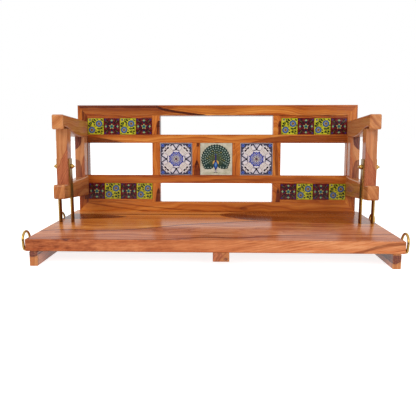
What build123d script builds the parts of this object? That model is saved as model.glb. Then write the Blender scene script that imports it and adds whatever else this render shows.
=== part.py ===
from build123d import *
import os
from math import cos, radians, sin, sqrt

# Wooden jhoola (indoor swing seat) with a low tiled back, two arm frames and brass hanging loops.
# Units are millimetres. While modelling, X runs to the right as seen from the front, Y backwards
# from the front edge of the seat and Z upwards from the top of the seat. Left and right in names
# are as seen from the front. finish() moves each node to the part's own origin: the middle of the
# footprint, on the surface that the side battens rest on.

# Seat, battens
SEAT_WIDTH = 914.0
SEAT_DEPTH = 435.5
SEAT_THICKNESS = 30.5
SEAT_EDGE_RADIUS = 2.5
PLANK_JOINTS = (108.0, 262.0)
SIDE_BATTEN_WIDTH = 20.0
SIDE_BATTEN_HEIGHT = 36.5
SIDE_BATTEN_OUTER_X = 447.0
CENTRE_BATTEN_WIDTH = 40.0
CENTRE_BATTEN_HEIGHT = 22.0
CENTRE_BATTEN_X = 19.0
BATTEN_EDGE_RADIUS = 2.0
BATTEN_SCREW_INSET = 55.0
MIDDLE_SCREW_SHIFT = 40.0

# Back
BACK_WIDTH = 882.0
BACK_HEIGHT = 338.0
BACK_THICKNESS = 30.0
BACK_RECLINE = 3.85
STILE_WIDTH = 31.0
DIVIDER_WIDTH = 24.8
END_RAIL_HEIGHT = 32.7
INNER_RAIL_HEIGHT = 26.0
ROW_HEIGHT = 59.3
LARGE_CELL_WIDTH = 102.6
OUTER_EDGE_RADIUS = 2.5
INNER_EDGE_RADIUS = 0.8
TENON_LENGTH = 16.0
TENON_THICKNESS = 10.0
TENON_SHOULDER = 4.0
STUB_TENON_LENGTH = 6.0
MITRE_HEEL = 3.0
MITRE_TENON_END = 9.0
MITRE_TENON_HEIGHTS = (12.0, 26.0)

# Tiles
LARGE_TILE = 101.4
SMALL_TILE = 50.6
SMALL_TILE_PITCH = 51.4
TILES_IN_ROW = 4
TILE_THICKNESS = 7.0
TILE_RECESS = 1.2
TILE_EDGE_RADIUS = 0.9
TILE_BED_GAP = 0.3
BACKER_THICKNESS = 8.0

# Arm frames. A profile point is (distance forward of the back, height along the back).
ARM_INNER_X = 409.5
ARM_THICKNESS = 31.5
ARM_LENGTH = 240.0
ARM_TOP = 286.7
ARM_LIP_BOTTOM = 246.5
ARM_LIP_DEPTH = 8.0
ARM_LIP_RADIUS = 5.0
ARM_LIP_STEP = 0.8
ARM_LIP_HOLLOW = (227.8, 252.6)
ARM_UNDERSIDE = (
    (0, 240.0),
    (40, 236.4),
    (86, 234.8),
    (135, 240.0),
    (172, 249.0),
    (203, 254.4),
    (222, 255.4),
)
LOWER_RAIL_BOTTOM = 57.0
LOWER_RAIL_TOP = 96.7
LOWER_RAIL_END_RADIUS = 6.5
LOWER_RAIL_REAR_BOTTOM = 53.6
LOWER_RAIL_UPPER_CURVE = (
    (204, 96.7),
    (174, 98.4),
    (135, 104.4),
    (95, 107.3),
    (52, 109.8),
    (20, 113.8),
    (0, 117.0),
)
LOWER_RAIL_END_SLOPE = 0.17
FRONT_POST_REAR = 174.0
FRONT_POST_DEPTH = 35.0
REAR_POST_DEPTH = 36.0
REAR_POST_INNER_X = 411.5
POST_BLANK = (88.7, 250.5)
ARM_EDGE_RADIUS = 3.5
POST_EDGE_RADIUS = 2.0
DOWEL_DIAMETER = 8.0
DOWEL_LENGTH = 36.0
FRONT_DOWEL_HEIGHTS = (97.0, 252.0)
REAR_DOWEL_HEIGHTS = (113.0, 238.5)

# Brass bars, bolts and ball nuts
BAR_WIDTH = 22.0
BAR_THICKNESS = 3.3
BAR_FRONT_Y = 216.0
BAR_TOP = 181.2
BAR_CORNER_RADIUS = 1.5
INNER_BAR_FOOT = 30.0
OUTER_BAR_DEPTH = 58.0
BOLT_HEIGHT = 159.0
BOLT_DIAMETER = 5.0
BOLT_PROTRUSION = 2.2
BOLT_END_CHAMFER = 0.75
BALL_RADIUS = 6.7
BALL_CENTRE_OFFSET = 1.9

# Hanging loops and their lugs
LOOP_WIRE_DIAMETER = 6.4
LOOP_SPACING = 43.6
LOOP_HEIGHT = 40.0
LOOP_LEAN = 4.0
LOOP_FRONT_Y = 29.2
LOOP_REAR_Y = 303.0
LOOP_BEND_RADIUS = 4.6
LOOP_STUB_END = 6.5
PIVOT_OUT = 5.5
PIVOT_DOWN = 27.0
PIVOT_CLEARANCE = 0.05
LUG_RADIUS = 5.5
LUG_WIDTH = 8.0
LUG_INNER_Y = 7.6
LUG_SHANK_DIAMETER = 4.4
LUG_SHANK_LENGTH = 24.0
LUG_SHANK_RISE = 2.0

# Wood screws
SCREW_DIAMETER = 4.4
SCREW_HEAD_DIAMETER = 9.0
SCREW_HEAD_HEIGHT = 3.2
SCREW_SINK = 0.6
SCREW_POINT_LENGTH = 3.5
SLOT_WIDTH = 1.3
SLOT_DEPTH = 1.2
BATTEN_SCREW_BITE = 21.0
BACK_SCREW_LENGTH = 54.0
BACK_SCREW_SETBACK = 1.0
BACK_SCREW_XS = (-360.0, -185.0, -60.0, 185.0, 360.0)
ARM_SCREW_LENGTH = 58.0
ARM_SCREW_HEIGHTS = (82.0, 176.0, 261.0)
BAR_SCREW_LENGTH = 18.0

# Values worked out from those above
SEAT_HALF = SEAT_WIDTH / 2
BACK_HALF = BACK_WIDTH / 2
BACK_FOOT_Y = SEAT_DEPTH - BACK_THICKNESS / cos(radians(BACK_RECLINE))
STILE_INNER_X = BACK_HALF - STILE_WIDTH
SIDE_CELL_WIDTH = STILE_INNER_X - 2 * DIVIDER_WIDTH - 1.5 * LARGE_CELL_WIDTH
LOWER_ROW_BOTTOM = END_RAIL_HEIGHT
LOWER_RAIL_Z = LOWER_ROW_BOTTOM + ROW_HEIGHT
MIDDLE_ROW_BOTTOM = LOWER_RAIL_Z + INNER_RAIL_HEIGHT
UPPER_ROW_TOP = BACK_HEIGHT - END_RAIL_HEIGHT
UPPER_ROW_BOTTOM = UPPER_ROW_TOP - ROW_HEIGHT
UPPER_RAIL_Z = UPPER_ROW_BOTTOM - INNER_RAIL_HEIGHT
MIDDLE_ROW_HEIGHT = UPPER_RAIL_Z - MIDDLE_ROW_BOTTOM
TENON_Y = ((BACK_THICKNESS - TENON_THICKNESS) / 2, (BACK_THICKNESS + TENON_THICKNESS) / 2)
TILE_BACK_Y = TILE_RECESS + TILE_THICKNESS
BAR_MIDDLE_Y = BAR_FRONT_Y + BAR_WIDTH / 2
ARM_OUTER_X = ARM_INNER_X + ARM_THICKNESS
FOOT_Z = SEAT_THICKNESS + SIDE_BATTEN_HEIGHT
PIVOT_X = SEAT_HALF + PIVOT_OUT
BACK_PLACE = Pos(0, BACK_FOOT_Y, 0) * Rot(-BACK_RECLINE, 0, 0)
REAR_MOST_Y = (
    BACK_FOOT_Y
    + (BACK_HEIGHT - OUTER_EDGE_RADIUS) * sin(radians(BACK_RECLINE))
    + (BACK_THICKNESS - OUTER_EDGE_RADIUS) * cos(radians(BACK_RECLINE))
    + OUTER_EDGE_RADIUS
)
ORIGIN_SHIFT = Pos(0, -REAR_MOST_Y / 2, FOOT_Z)

nodes = {}


def block(x_range, y_range, z_range):
    """A box between two values on each axis."""
    size = [high - low for low, high in (x_range, y_range, z_range)]
    middle = [(high + low) / 2 for low, high in (x_range, y_range, z_range)]
    return Pos(*middle) * Box(*size)


def mirrored(side, low, high):
    """The X range from low to high on the right side, or its mirror image on the left."""
    return (low, high) if side > 0 else (-high, -low)


def rounded(shape, axis, radius):
    """The shape with every edge along one axis rounded."""
    return fillet(shape.edges().filter_by(axis), radius)


def rod(start, direction, length, radius):
    """A round rod from a point along a direction."""
    return extrude(Plane(origin=start, z_dir=direction) * Circle(radius), amount=length)


def screw(point, direction, length, with_slot=True):
    """A countersunk wood screw whose head is at point and whose shank runs along direction."""
    plane = Plane(origin=point, z_dir=direction)
    head_radius = SCREW_HEAD_DIAMETER / 2
    shank_radius = SCREW_DIAMETER / 2
    outline = Polyline(
        (0, 0),
        (head_radius, 0),
        (shank_radius, SCREW_HEAD_HEIGHT),
        (shank_radius, length - SCREW_POINT_LENGTH),
        (0, length),
        close=True,
    )
    body = plane.location * revolve(Plane.XZ * make_face(outline), Axis.Z)
    if with_slot:
        slot = Box(SCREW_HEAD_DIAMETER, SLOT_WIDTH, SLOT_DEPTH)
        body -= plane.location * Pos(0, 0, SLOT_DEPTH / 2) * slot
    return body


def screw_hole(point, direction, length):
    """The space of a screw, with its head sunk below the surface."""
    plane = Plane(origin=point, z_dir=direction)
    sunk = plane.location * Pos(0, 0, SCREW_SINK)
    mouth = plane.location * Cylinder(
        SCREW_HEAD_DIAMETER / 2, SCREW_SINK, align=(Align.CENTER, Align.CENTER, Align.MIN)
    )
    return mouth + screw(sunk.position, direction, length, with_slot=False)


def sunk_screw(point, direction, length):
    """The screw that sits in the matching screw_hole."""
    plane = Plane(origin=point, z_dir=direction)
    sunk = plane.location * Pos(0, 0, SCREW_SINK)
    return screw(sunk.position, direction, length)


def back_to_seat(x, forward, height):
    """A point of the reclined back frame, as a point of the seat frame."""
    return (BACK_PLACE * Pos(x, -forward, height)).position


def back_direction():
    """The direction straight forward out of the back's front face."""
    return Vector(0, -cos(radians(BACK_RECLINE)), sin(radians(BACK_RECLINE)))


# Screw places are settled first, because the pieces they pass through are drilled to suit.
batten_screws = []
for batten_x, batten_height in (
    (-SIDE_BATTEN_OUTER_X + SIDE_BATTEN_WIDTH / 2, SIDE_BATTEN_HEIGHT),
    (SIDE_BATTEN_OUTER_X - SIDE_BATTEN_WIDTH / 2, SIDE_BATTEN_HEIGHT),
    (CENTRE_BATTEN_X, CENTRE_BATTEN_HEIGHT),
):
    for batten_y in (
        BATTEN_SCREW_INSET,
        SEAT_DEPTH / 2 - MIDDLE_SCREW_SHIFT,
        SEAT_DEPTH - BATTEN_SCREW_INSET,
    ):
        place = (batten_x, batten_y, -SEAT_THICKNESS - batten_height)
        batten_screws.append((place, (0, 0, 1), batten_height + BATTEN_SCREW_BITE))

back_screw_y = BACK_FOOT_Y + BACK_THICKNESS / 2 + BACK_SCREW_SETBACK
back_screws = []
for screw_x in BACK_SCREW_XS:
    place = (screw_x, back_screw_y, -SEAT_THICKNESS)
    back_screws.append((place, (0, 0, 1), BACK_SCREW_LENGTH))

arm_screws = []
for side in (-1, 1):
    for height in ARM_SCREW_HEIGHTS:
        screw_x = side * (ARM_INNER_X + BACK_HALF) / 2
        place = back_to_seat(screw_x, -BACK_THICKNESS, height)
        arm_screws.append((place, back_direction(), ARM_SCREW_LENGTH))

bar_screws = []
for side in (-1, 1):
    foot_x = side * (ARM_INNER_X - BAR_THICKNESS - INNER_BAR_FOOT / 2)
    foot_z = -SEAT_THICKNESS - BAR_THICKNESS
    bar_screws.append(((foot_x, BAR_MIDDLE_Y, foot_z), (0, 0, 1), BAR_SCREW_LENGTH))
    cross_z = -SEAT_THICKNESS - (OUTER_BAR_DEPTH - SEAT_THICKNESS) / 2
    cross_x = side * SIDE_BATTEN_OUTER_X
    bar_screws.append(((cross_x, BAR_MIDDLE_Y, cross_z), (-side, 0, 0), BAR_SCREW_LENGTH))


def drilled(shape, screws):
    """The shape with the holes of those screws that reach it."""
    box = shape.bounding_box()
    for point, direction, length in screws:
        hole = screw_hole(point, direction, length)
        reach = hole.bounding_box()
        apart = (
            reach.min.X > box.max.X
            or reach.max.X < box.min.X
            or reach.min.Y > box.max.Y
            or reach.max.Y < box.min.Y
            or reach.min.Z > box.max.Z
            or reach.max.Z < box.min.Z
        )
        if not apart:
            shape = shape - hole
    return shape


def loop_places():
    """Name, side and middle of each of the four hanging loops."""
    for y_name, y in (("front", LOOP_FRONT_Y), ("rear", LOOP_REAR_Y)):
        for x_name, side in (("left", -1), ("right", 1)):
            yield f"{y_name}_{x_name}", side, y


def lug_shank(side, y, radius):
    """The threaded shank of a lug, in the edge of the seat."""
    start = (side * SEAT_HALF, y, -PIVOT_DOWN + LUG_SHANK_RISE)
    return rod(start, (-side, 0, 0), LUG_SHANK_LENGTH, radius)


def top_rounded(bar):
    """The bar with the two corners of its upper end eased."""
    corners = bar.edges().filter_by(Axis.X).sort_by(Axis.Z)[-2:]
    return fillet(corners, BAR_CORNER_RADIUS)


def bolt_rod(side):
    """The plain rod of one side's bolt, from ball nut to ball nut."""
    reach = BAR_THICKNESS + BALL_CENTRE_OFFSET + BALL_RADIUS + BOLT_PROTRUSION
    start = (side * (ARM_INNER_X - reach), BAR_MIDDLE_Y, BOLT_HEIGHT)
    return rod(start, (side, 0, 0), ARM_THICKNESS + 2 * reach, BOLT_DIAMETER / 2)


def make_bars():
    """The flat brass bars that clamp each front post and run down into the seat."""
    bars = {}
    y_range = (BAR_FRONT_Y, BAR_FRONT_Y + BAR_WIDTH)
    for name, side in (("left", -1), ("right", 1)):
        upright = block(
            mirrored(side, ARM_INNER_X - BAR_THICKNESS, ARM_INNER_X),
            y_range,
            (-SEAT_THICKNESS - BAR_THICKNESS, BAR_TOP),
        )
        foot = block(
            mirrored(side, ARM_INNER_X - BAR_THICKNESS - INNER_BAR_FOOT, ARM_INNER_X),
            y_range,
            (-SEAT_THICKNESS - BAR_THICKNESS, -SEAT_THICKNESS),
        )
        bars[f"inner_bar_{name}"] = top_rounded(upright) + foot
        outer_x = mirrored(side, ARM_OUTER_X, ARM_OUTER_X + BAR_THICKNESS)
        bars[f"outer_bar_{name}"] = top_rounded(block(outer_x, y_range, (-OUTER_BAR_DEPTH, BAR_TOP)))
    return bars


bars = make_bars()


def make_seat():
    """The slab, rounded as one board, then parted along its two glue joints."""
    slab = block((-SEAT_HALF, SEAT_HALF), (0, SEAT_DEPTH), (-SEAT_THICKNESS, 0))
    slab = fillet(slab.edges(), SEAT_EDGE_RADIUS)
    for bar in bars.values():
        slab = slab - bar
    for _, side, loop_y in loop_places():
        for along in (-1, 1):
            shank_y = loop_y + along * (LUG_INNER_Y + LUG_WIDTH / 2)
            slab = slab - lug_shank(side, shank_y, LUG_SHANK_DIAMETER / 2)
    edges = (-1.0, *PLANK_JOINTS, SEAT_DEPTH + 1.0)
    for name, front, rear in zip(("front", "middle", "rear"), edges, edges[1:]):
        plank = slab & block((-SEAT_HALF - 1, SEAT_HALF + 1), (front, rear), (-SEAT_THICKNESS - 1, 1))
        nodes[f"seat_plank_{name}"] = drilled(plank, batten_screws + back_screws + bar_screws)


def make_battens():
    """Two battens on edge under the ends of the seat and one laid flat under the middle."""
    for name, side in (("left", -1), ("right", 1)):
        batten = block(
            mirrored(side, SIDE_BATTEN_OUTER_X - SIDE_BATTEN_WIDTH, SIDE_BATTEN_OUTER_X),
            (0, SEAT_DEPTH),
            (-FOOT_Z, -SEAT_THICKNESS),
        )
        batten = rounded(batten, Axis.Y, BATTEN_EDGE_RADIUS)
        batten = batten - bars[f"outer_bar_{name}"]
        nodes[f"side_batten_{name}"] = drilled(batten, batten_screws + bar_screws)
    half = CENTRE_BATTEN_WIDTH / 2
    batten = block(
        (CENTRE_BATTEN_X - half, CENTRE_BATTEN_X + half),
        (0, SEAT_DEPTH),
        (-SEAT_THICKNESS - CENTRE_BATTEN_HEIGHT, -SEAT_THICKNESS),
    )
    nodes["centre_batten"] = drilled(rounded(batten, Axis.Y, BATTEN_EDGE_RADIUS), batten_screws)


def frame_bar(x_range, z_range, along, low_radius, high_radius):
    """A straight bar of the outer frame, its long edges rounded by one radius on each side."""
    bar = block(x_range, (0, BACK_THICKNESS), z_range)
    across = Axis.Z if along == Axis.X else Axis.X
    if low_radius > 0:
        bar = fillet(bar.edges().filter_by(along).sort_by(across)[:2], low_radius)
    return fillet(bar.edges().filter_by(along).sort_by(across)[-2:], high_radius)


def mitred_frame():
    """The four outer members of the back, mitred at the corners, by name."""
    full_width = (-BACK_HALF, BACK_HALF)
    full_height = (0, BACK_HEIGHT)
    bars_by_name = {
        "back_rail_bottom": frame_bar(
            full_width, (0, LOWER_ROW_BOTTOM), Axis.X, 0, INNER_EDGE_RADIUS
        ),
        "back_rail_top": frame_bar(
            full_width, (UPPER_ROW_TOP, BACK_HEIGHT), Axis.X, INNER_EDGE_RADIUS, OUTER_EDGE_RADIUS
        ),
        "back_stile_left": frame_bar(
            (-BACK_HALF, -STILE_INNER_X), full_height, Axis.Z, OUTER_EDGE_RADIUS, INNER_EDGE_RADIUS
        ),
        "back_stile_right": frame_bar(
            (STILE_INNER_X, BACK_HALF), full_height, Axis.Z, INNER_EDGE_RADIUS, OUTER_EDGE_RADIUS
        ),
    }

    foot_left = (-BACK_HALF, 0)
    foot_right = (BACK_HALF, 0)
    heel_left = (-BACK_HALF, MITRE_HEEL)
    heel_right = (BACK_HALF, MITRE_HEEL)
    high_left = (-BACK_HALF, BACK_HEIGHT)
    high_right = (BACK_HALF, BACK_HEIGHT)
    cell_low_left = (-STILE_INNER_X, LOWER_ROW_BOTTOM)
    cell_low_right = (STILE_INNER_X, LOWER_ROW_BOTTOM)
    cell_high_left = (-STILE_INNER_X, UPPER_ROW_TOP)
    cell_high_right = (STILE_INNER_X, UPPER_ROW_TOP)
    outlines = {
        "back_rail_bottom": (
            foot_left,
            foot_right,
            heel_right,
            cell_low_right,
            cell_low_left,
            heel_left,
        ),
        "back_rail_top": (high_left, high_right, cell_high_right, cell_high_left),
        "back_stile_left": (heel_left, high_left, cell_high_left, cell_low_left),
        "back_stile_right": (heel_right, high_right, cell_high_right, cell_low_right),
    }
    pieces = {}
    for name, corners in outlines.items():
        outline = make_face(Polyline(*corners, close=True))
        prism = Pos(0, BACK_THICKNESS, 0) * extrude(Plane.XZ * outline, amount=BACK_THICKNESS)
        pieces[name] = bars_by_name[name] & prism

    tenon_reach = BACK_HALF - MITRE_TENON_END
    for name, edge_z, inwards in (("back_rail_bottom", 0, 1), ("back_rail_top", BACK_HEIGHT, -1)):
        tenon_z = sorted(edge_z + inwards * height for height in MITRE_TENON_HEIGHTS)
        pieces[name] += block((-tenon_reach, tenon_reach), TENON_Y, tenon_z)
    return pieces


def rail(z_range):
    """An inner rail of the back between the stiles, with a tenon at each end."""
    low, high = z_range
    body = block((-STILE_INNER_X, STILE_INNER_X), (0, BACK_THICKNESS), z_range)
    body = rounded(body, Axis.X, INNER_EDGE_RADIUS)
    reach = STILE_INNER_X + TENON_LENGTH
    return body + block((-reach, reach), TENON_Y, (low + TENON_SHOULDER, high - TENON_SHOULDER))


def divider(x_left, z_range):
    """A short upright between two rails, with a stub tenon at each end."""
    body = block((x_left, x_left + DIVIDER_WIDTH), (0, BACK_THICKNESS), z_range)
    body = rounded(body, Axis.Z, INNER_EDGE_RADIUS)
    tenon_x = (x_left + TENON_SHOULDER, x_left + DIVIDER_WIDTH - TENON_SHOULDER)
    tenon_z = (z_range[0] - STUB_TENON_LENGTH, z_range[1] + STUB_TENON_LENGTH)
    return body + block(tenon_x, TENON_Y, tenon_z)


def make_back():
    """The reclined frame: stiles, rails and dividers, with mortises cut for their tenons."""
    lower_z = (LOWER_ROW_BOTTOM, LOWER_RAIL_Z)
    middle_z = (MIDDLE_ROW_BOTTOM, UPPER_RAIL_Z)
    upper_z = (UPPER_ROW_BOTTOM, UPPER_ROW_TOP)
    left_x = -STILE_INNER_X + SIDE_CELL_WIDTH
    right_x = -left_x - DIVIDER_WIDTH
    dividers = {
        "divider_lower_left": divider(left_x, lower_z),
        "divider_lower_right": divider(right_x, lower_z),
        "divider_upper_left": divider(left_x, upper_z),
        "divider_upper_right": divider(right_x, upper_z),
    }
    for count in range(4):
        x = left_x + count * (DIVIDER_WIDTH + LARGE_CELL_WIDTH)
        dividers[f"divider_middle_{count + 1}"] = divider(x, middle_z)

    pieces = mitred_frame()
    pieces["back_rail_lower"] = rail((LOWER_RAIL_Z, MIDDLE_ROW_BOTTOM))
    pieces["back_rail_upper"] = rail((UPPER_RAIL_Z, UPPER_ROW_BOTTOM))
    rails = [piece for name, piece in pieces.items() if name.startswith("back_rail")]
    below_seat_top = block((-SEAT_WIDTH, SEAT_WIDTH), (-SEAT_DEPTH, 2 * SEAT_DEPTH), (-50, 0))
    for name, piece in pieces.items():
        cutters = rails if name.startswith("back_stile") else dividers.values()
        for cutter in cutters:
            piece = piece - cutter
        piece = BACK_PLACE * piece - below_seat_top
        nodes[name] = drilled(piece, back_screws + arm_screws)
    for name, piece in dividers.items():
        nodes[name] = BACK_PLACE * piece


def tile(x_left, z_bottom, size):
    """A square tile with softened front edges, its face just behind the frame's front face."""
    body = block((x_left, x_left + size), (TILE_RECESS, TILE_BACK_Y), (z_bottom, z_bottom + size))
    front = body.faces().sort_by(Axis.Y)[0]
    return BACK_PLACE * fillet(front.edges(), TILE_EDGE_RADIUS)


def make_tiles():
    """Three large tiles, four rows of four small ones, and the boards and fillets behind them."""
    names = ("large_tile_left", "large_tile_peacock", "large_tile_right")
    backers = []
    for name, count in zip(names, (-1, 0, 1)):
        middle_x = count * (LARGE_CELL_WIDTH + DIVIDER_WIDTH)
        z_bottom = MIDDLE_ROW_BOTTOM + (MIDDLE_ROW_HEIGHT - LARGE_TILE) / 2
        nodes[name] = tile(middle_x - LARGE_TILE / 2, z_bottom, LARGE_TILE)
        half = LARGE_CELL_WIDTH / 2
        backers.append(
            BACK_PLACE
            * block(
                (middle_x - half, middle_x + half),
                (TILE_BACK_Y, TILE_BACK_Y + BACKER_THICKNESS),
                (MIDDLE_ROW_BOTTOM, UPPER_RAIL_Z),
            )
        )

    row_width = (TILES_IN_ROW - 1) * SMALL_TILE_PITCH + SMALL_TILE
    end_gap = (SIDE_CELL_WIDTH - row_width) / 2
    fillets = []
    for row, cell_bottom in (("lower", LOWER_ROW_BOTTOM), ("upper", UPPER_ROW_BOTTOM)):
        cell_top = cell_bottom + ROW_HEIGHT
        if row == "lower":
            z_bottom = cell_top - TILE_BED_GAP - SMALL_TILE
            fillet_z = (cell_bottom, z_bottom - TILE_BED_GAP)
            first_colour = ("maroon", "yellow")
        else:
            z_bottom = cell_bottom + TILE_BED_GAP
            fillet_z = (z_bottom + SMALL_TILE + TILE_BED_GAP, cell_top)
            first_colour = ("yellow", "maroon")
        for side_name, cell_left in (
            ("left", -STILE_INNER_X),
            ("right", STILE_INNER_X - SIDE_CELL_WIDTH),
        ):
            cell_x = (cell_left, cell_left + SIDE_CELL_WIDTH)
            row_tiles = [
                tile(cell_left + end_gap + count * SMALL_TILE_PITCH, z_bottom, SMALL_TILE)
                for count in range(TILES_IN_ROW)
            ]
            nodes[f"tiles_{first_colour[0]}_{row}_{side_name}"] = Compound(row_tiles[0::2])
            nodes[f"tiles_{first_colour[1]}_{row}_{side_name}"] = Compound(row_tiles[1::2])
            backer_y = (TILE_BACK_Y, TILE_BACK_Y + BACKER_THICKNESS)
            backers.append(BACK_PLACE * block(cell_x, backer_y, (cell_bottom, cell_top)))
            strip = block(cell_x, (TILE_RECESS / 2, TILE_BACK_Y), fillet_z)
            fillets.append(BACK_PLACE * rounded(strip, Axis.X, INNER_EDGE_RADIUS))
    nodes["tile_backers"] = Compound(backers)
    nodes["tile_fillets"] = Compound(fillets)


def side_profile(side, wires):
    """A closed outline in the side plane of an arm, made solid through the arm's thickness."""
    low_x = mirrored(side, ARM_INNER_X, ARM_OUTER_X)[0]
    return Pos(low_x, 0, 0) * extrude(Plane.YZ * make_face(wires), amount=ARM_THICKNESS)


def arm_rail(side):
    """The top rail: straight above, a drooping lip in front and an S-curve below."""
    lip_back = ARM_LENGTH - ARM_LIP_DEPTH
    corner = ARM_LIP_RADIUS
    top_front = ARM_TOP - corner
    lip_front = ARM_LIP_BOTTOM + corner
    lip_heel = (-lip_back, ARM_LIP_BOTTOM + ARM_LIP_STEP)
    hollow_middle = (-ARM_LIP_HOLLOW[0], ARM_LIP_HOLLOW[1])
    points = [(-forward, height) for forward, height in ARM_UNDERSIDE]
    under = Spline(*points)
    hollow = ThreePointArc(points[-1], hollow_middle, lip_heel)
    lip = Line(lip_heel, (-ARM_LENGTH + corner, ARM_LIP_BOTTOM))
    nose = RadiusArc((-ARM_LENGTH + corner, ARM_LIP_BOTTOM), (-ARM_LENGTH, lip_front), corner)
    front = Line((-ARM_LENGTH, lip_front), (-ARM_LENGTH, top_front))
    brow = RadiusArc((-ARM_LENGTH, top_front), (-ARM_LENGTH + corner, ARM_TOP), corner)
    top = Line((-ARM_LENGTH + corner, ARM_TOP), (0, ARM_TOP))
    rear = Line((0, ARM_TOP), points[0])
    return side_profile(side, [under, hollow, lip, nose, front, brow, top, rear])


def lower_rail(side):
    """The lower rail: a rounded front end, and a top that sweeps up towards the back."""
    corner = LOWER_RAIL_END_RADIUS
    curve = [(-forward, height) for forward, height in LOWER_RAIL_UPPER_CURVE]
    front_y = -ARM_LENGTH
    bottom = Line((0, LOWER_RAIL_REAR_BOTTOM), (front_y + corner, LOWER_RAIL_BOTTOM))
    chin_top = (front_y, LOWER_RAIL_BOTTOM + corner)
    chin = RadiusArc((front_y + corner, LOWER_RAIL_BOTTOM), chin_top, corner)
    brow_bottom = (front_y, LOWER_RAIL_TOP - corner)
    front = Line(chin_top, brow_bottom)
    brow = RadiusArc(brow_bottom, (front_y + corner, LOWER_RAIL_TOP), corner)
    flat = Line((front_y + corner, LOWER_RAIL_TOP), curve[0])
    sweep_up = Spline(*curve, tangents=((1, 0), (1, LOWER_RAIL_END_SLOPE)))
    rear = Line(curve[-1], (0, LOWER_RAIL_REAR_BOTTOM))
    return side_profile(side, [bottom, chin, front, brow, flat, sweep_up, rear])


def side_rounded(shape, radius):
    """The shape with the edges of its two side faces rounded, apart from those against the back."""
    chosen = []
    for face in (shape.faces().sort_by(Axis.X)[0], shape.faces().sort_by(Axis.X)[-1]):
        chosen.extend(edge for edge in face.edges() if edge.center().Y < -0.5)
    return fillet(chosen, radius)


def make_arms():
    """Each arm frame: two rails and two posts, joined by dowels and screwed to the back."""
    dowels = []
    front_post_y = (-FRONT_POST_REAR - FRONT_POST_DEPTH, -FRONT_POST_REAR)
    rear_post_y = (-REAR_POST_DEPTH, 0)
    for name, side in (("left", -1), ("right", 1)):
        top = side_rounded(arm_rail(side), ARM_EDGE_RADIUS)
        low = side_rounded(lower_rail(side), ARM_EDGE_RADIUS)
        front_post = block(mirrored(side, ARM_INNER_X, ARM_OUTER_X), front_post_y, POST_BLANK)
        front_post = rounded(front_post, Axis.Z, POST_EDGE_RADIUS)
        rear_post = block(mirrored(side, REAR_POST_INNER_X, ARM_OUTER_X), rear_post_y, POST_BLANK)
        rear_post = rounded(rear_post, Axis.Z, POST_EDGE_RADIUS)
        pieces = {
            "arm_rail": top,
            "lower_rail": low,
            "front_post": front_post - top - low,
            "rear_post": rear_post - top - low,
        }
        arm_dowels = []
        for post_y, joint_heights in (
            (front_post_y, FRONT_DOWEL_HEIGHTS),
            (rear_post_y, REAR_DOWEL_HEIGHTS),
        ):
            for joint_z in joint_heights:
                middle_x = side * (ARM_INNER_X + ARM_OUTER_X) / 2
                start = (middle_x, sum(post_y) / 2, joint_z - DOWEL_LENGTH / 2)
                arm_dowels.append(rod(start, (0, 0, 1), DOWEL_LENGTH, DOWEL_DIAMETER / 2))
        for piece_name, piece in pieces.items():
            for dowel in arm_dowels:
                piece = piece - dowel
            piece = drilled(BACK_PLACE * piece, arm_screws)
            if piece_name == "front_post":
                piece = piece - bolt_rod(side)
            nodes[f"{piece_name}_{name}"] = piece
        dowels.extend(drilled(BACK_PLACE * dowel, arm_screws) for dowel in arm_dowels)
    nodes["arm_dowels"] = Compound(dowels)


def ball_nut(side, face_x, outward):
    """A ball nut cut flat where it bears on a bar, with its threaded hole."""
    hole_radius = BOLT_DIAMETER / 2
    foot_radius = sqrt(BALL_RADIUS**2 - BALL_CENTRE_OFFSET**2)
    tip = BALL_CENTRE_OFFSET + sqrt(BALL_RADIUS**2 - hole_radius**2)
    slope = BALL_RADIUS * sin(radians(45))
    outline = [
        Line((hole_radius, 0), (foot_radius, 0)),
        ThreePointArc((foot_radius, 0), (slope, BALL_CENTRE_OFFSET + slope), (hole_radius, tip)),
        Line((hole_radius, tip), (hole_radius, 0)),
    ]
    turned = revolve(Plane.XZ * make_face(outline), Axis.Z)
    seat = Plane(origin=(side * face_x, BAR_MIDDLE_Y, BOLT_HEIGHT), z_dir=(side * outward, 0, 0))
    return seat.location * turned


def make_brass():
    """The drilled bars, the through-bolts and the ball nuts."""
    for name, bar in bars.items():
        side = -1 if name.endswith("left") else 1
        nodes[name] = drilled(bar - bolt_rod(side), bar_screws)

    bolts = []
    nuts = []
    for side in (-1, 1):
        bolt = bolt_rod(side)
        bolts.append(chamfer(bolt.edges().filter_by(GeomType.CIRCLE), BOLT_END_CHAMFER))
        nuts.append(ball_nut(side, ARM_INNER_X - BAR_THICKNESS, -1))
        nuts.append(ball_nut(side, ARM_OUTER_X + BAR_THICKNESS, 1))
    nodes["arm_bolts"] = Compound(bolts)
    nodes["ball_nuts"] = Compound(nuts)


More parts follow.
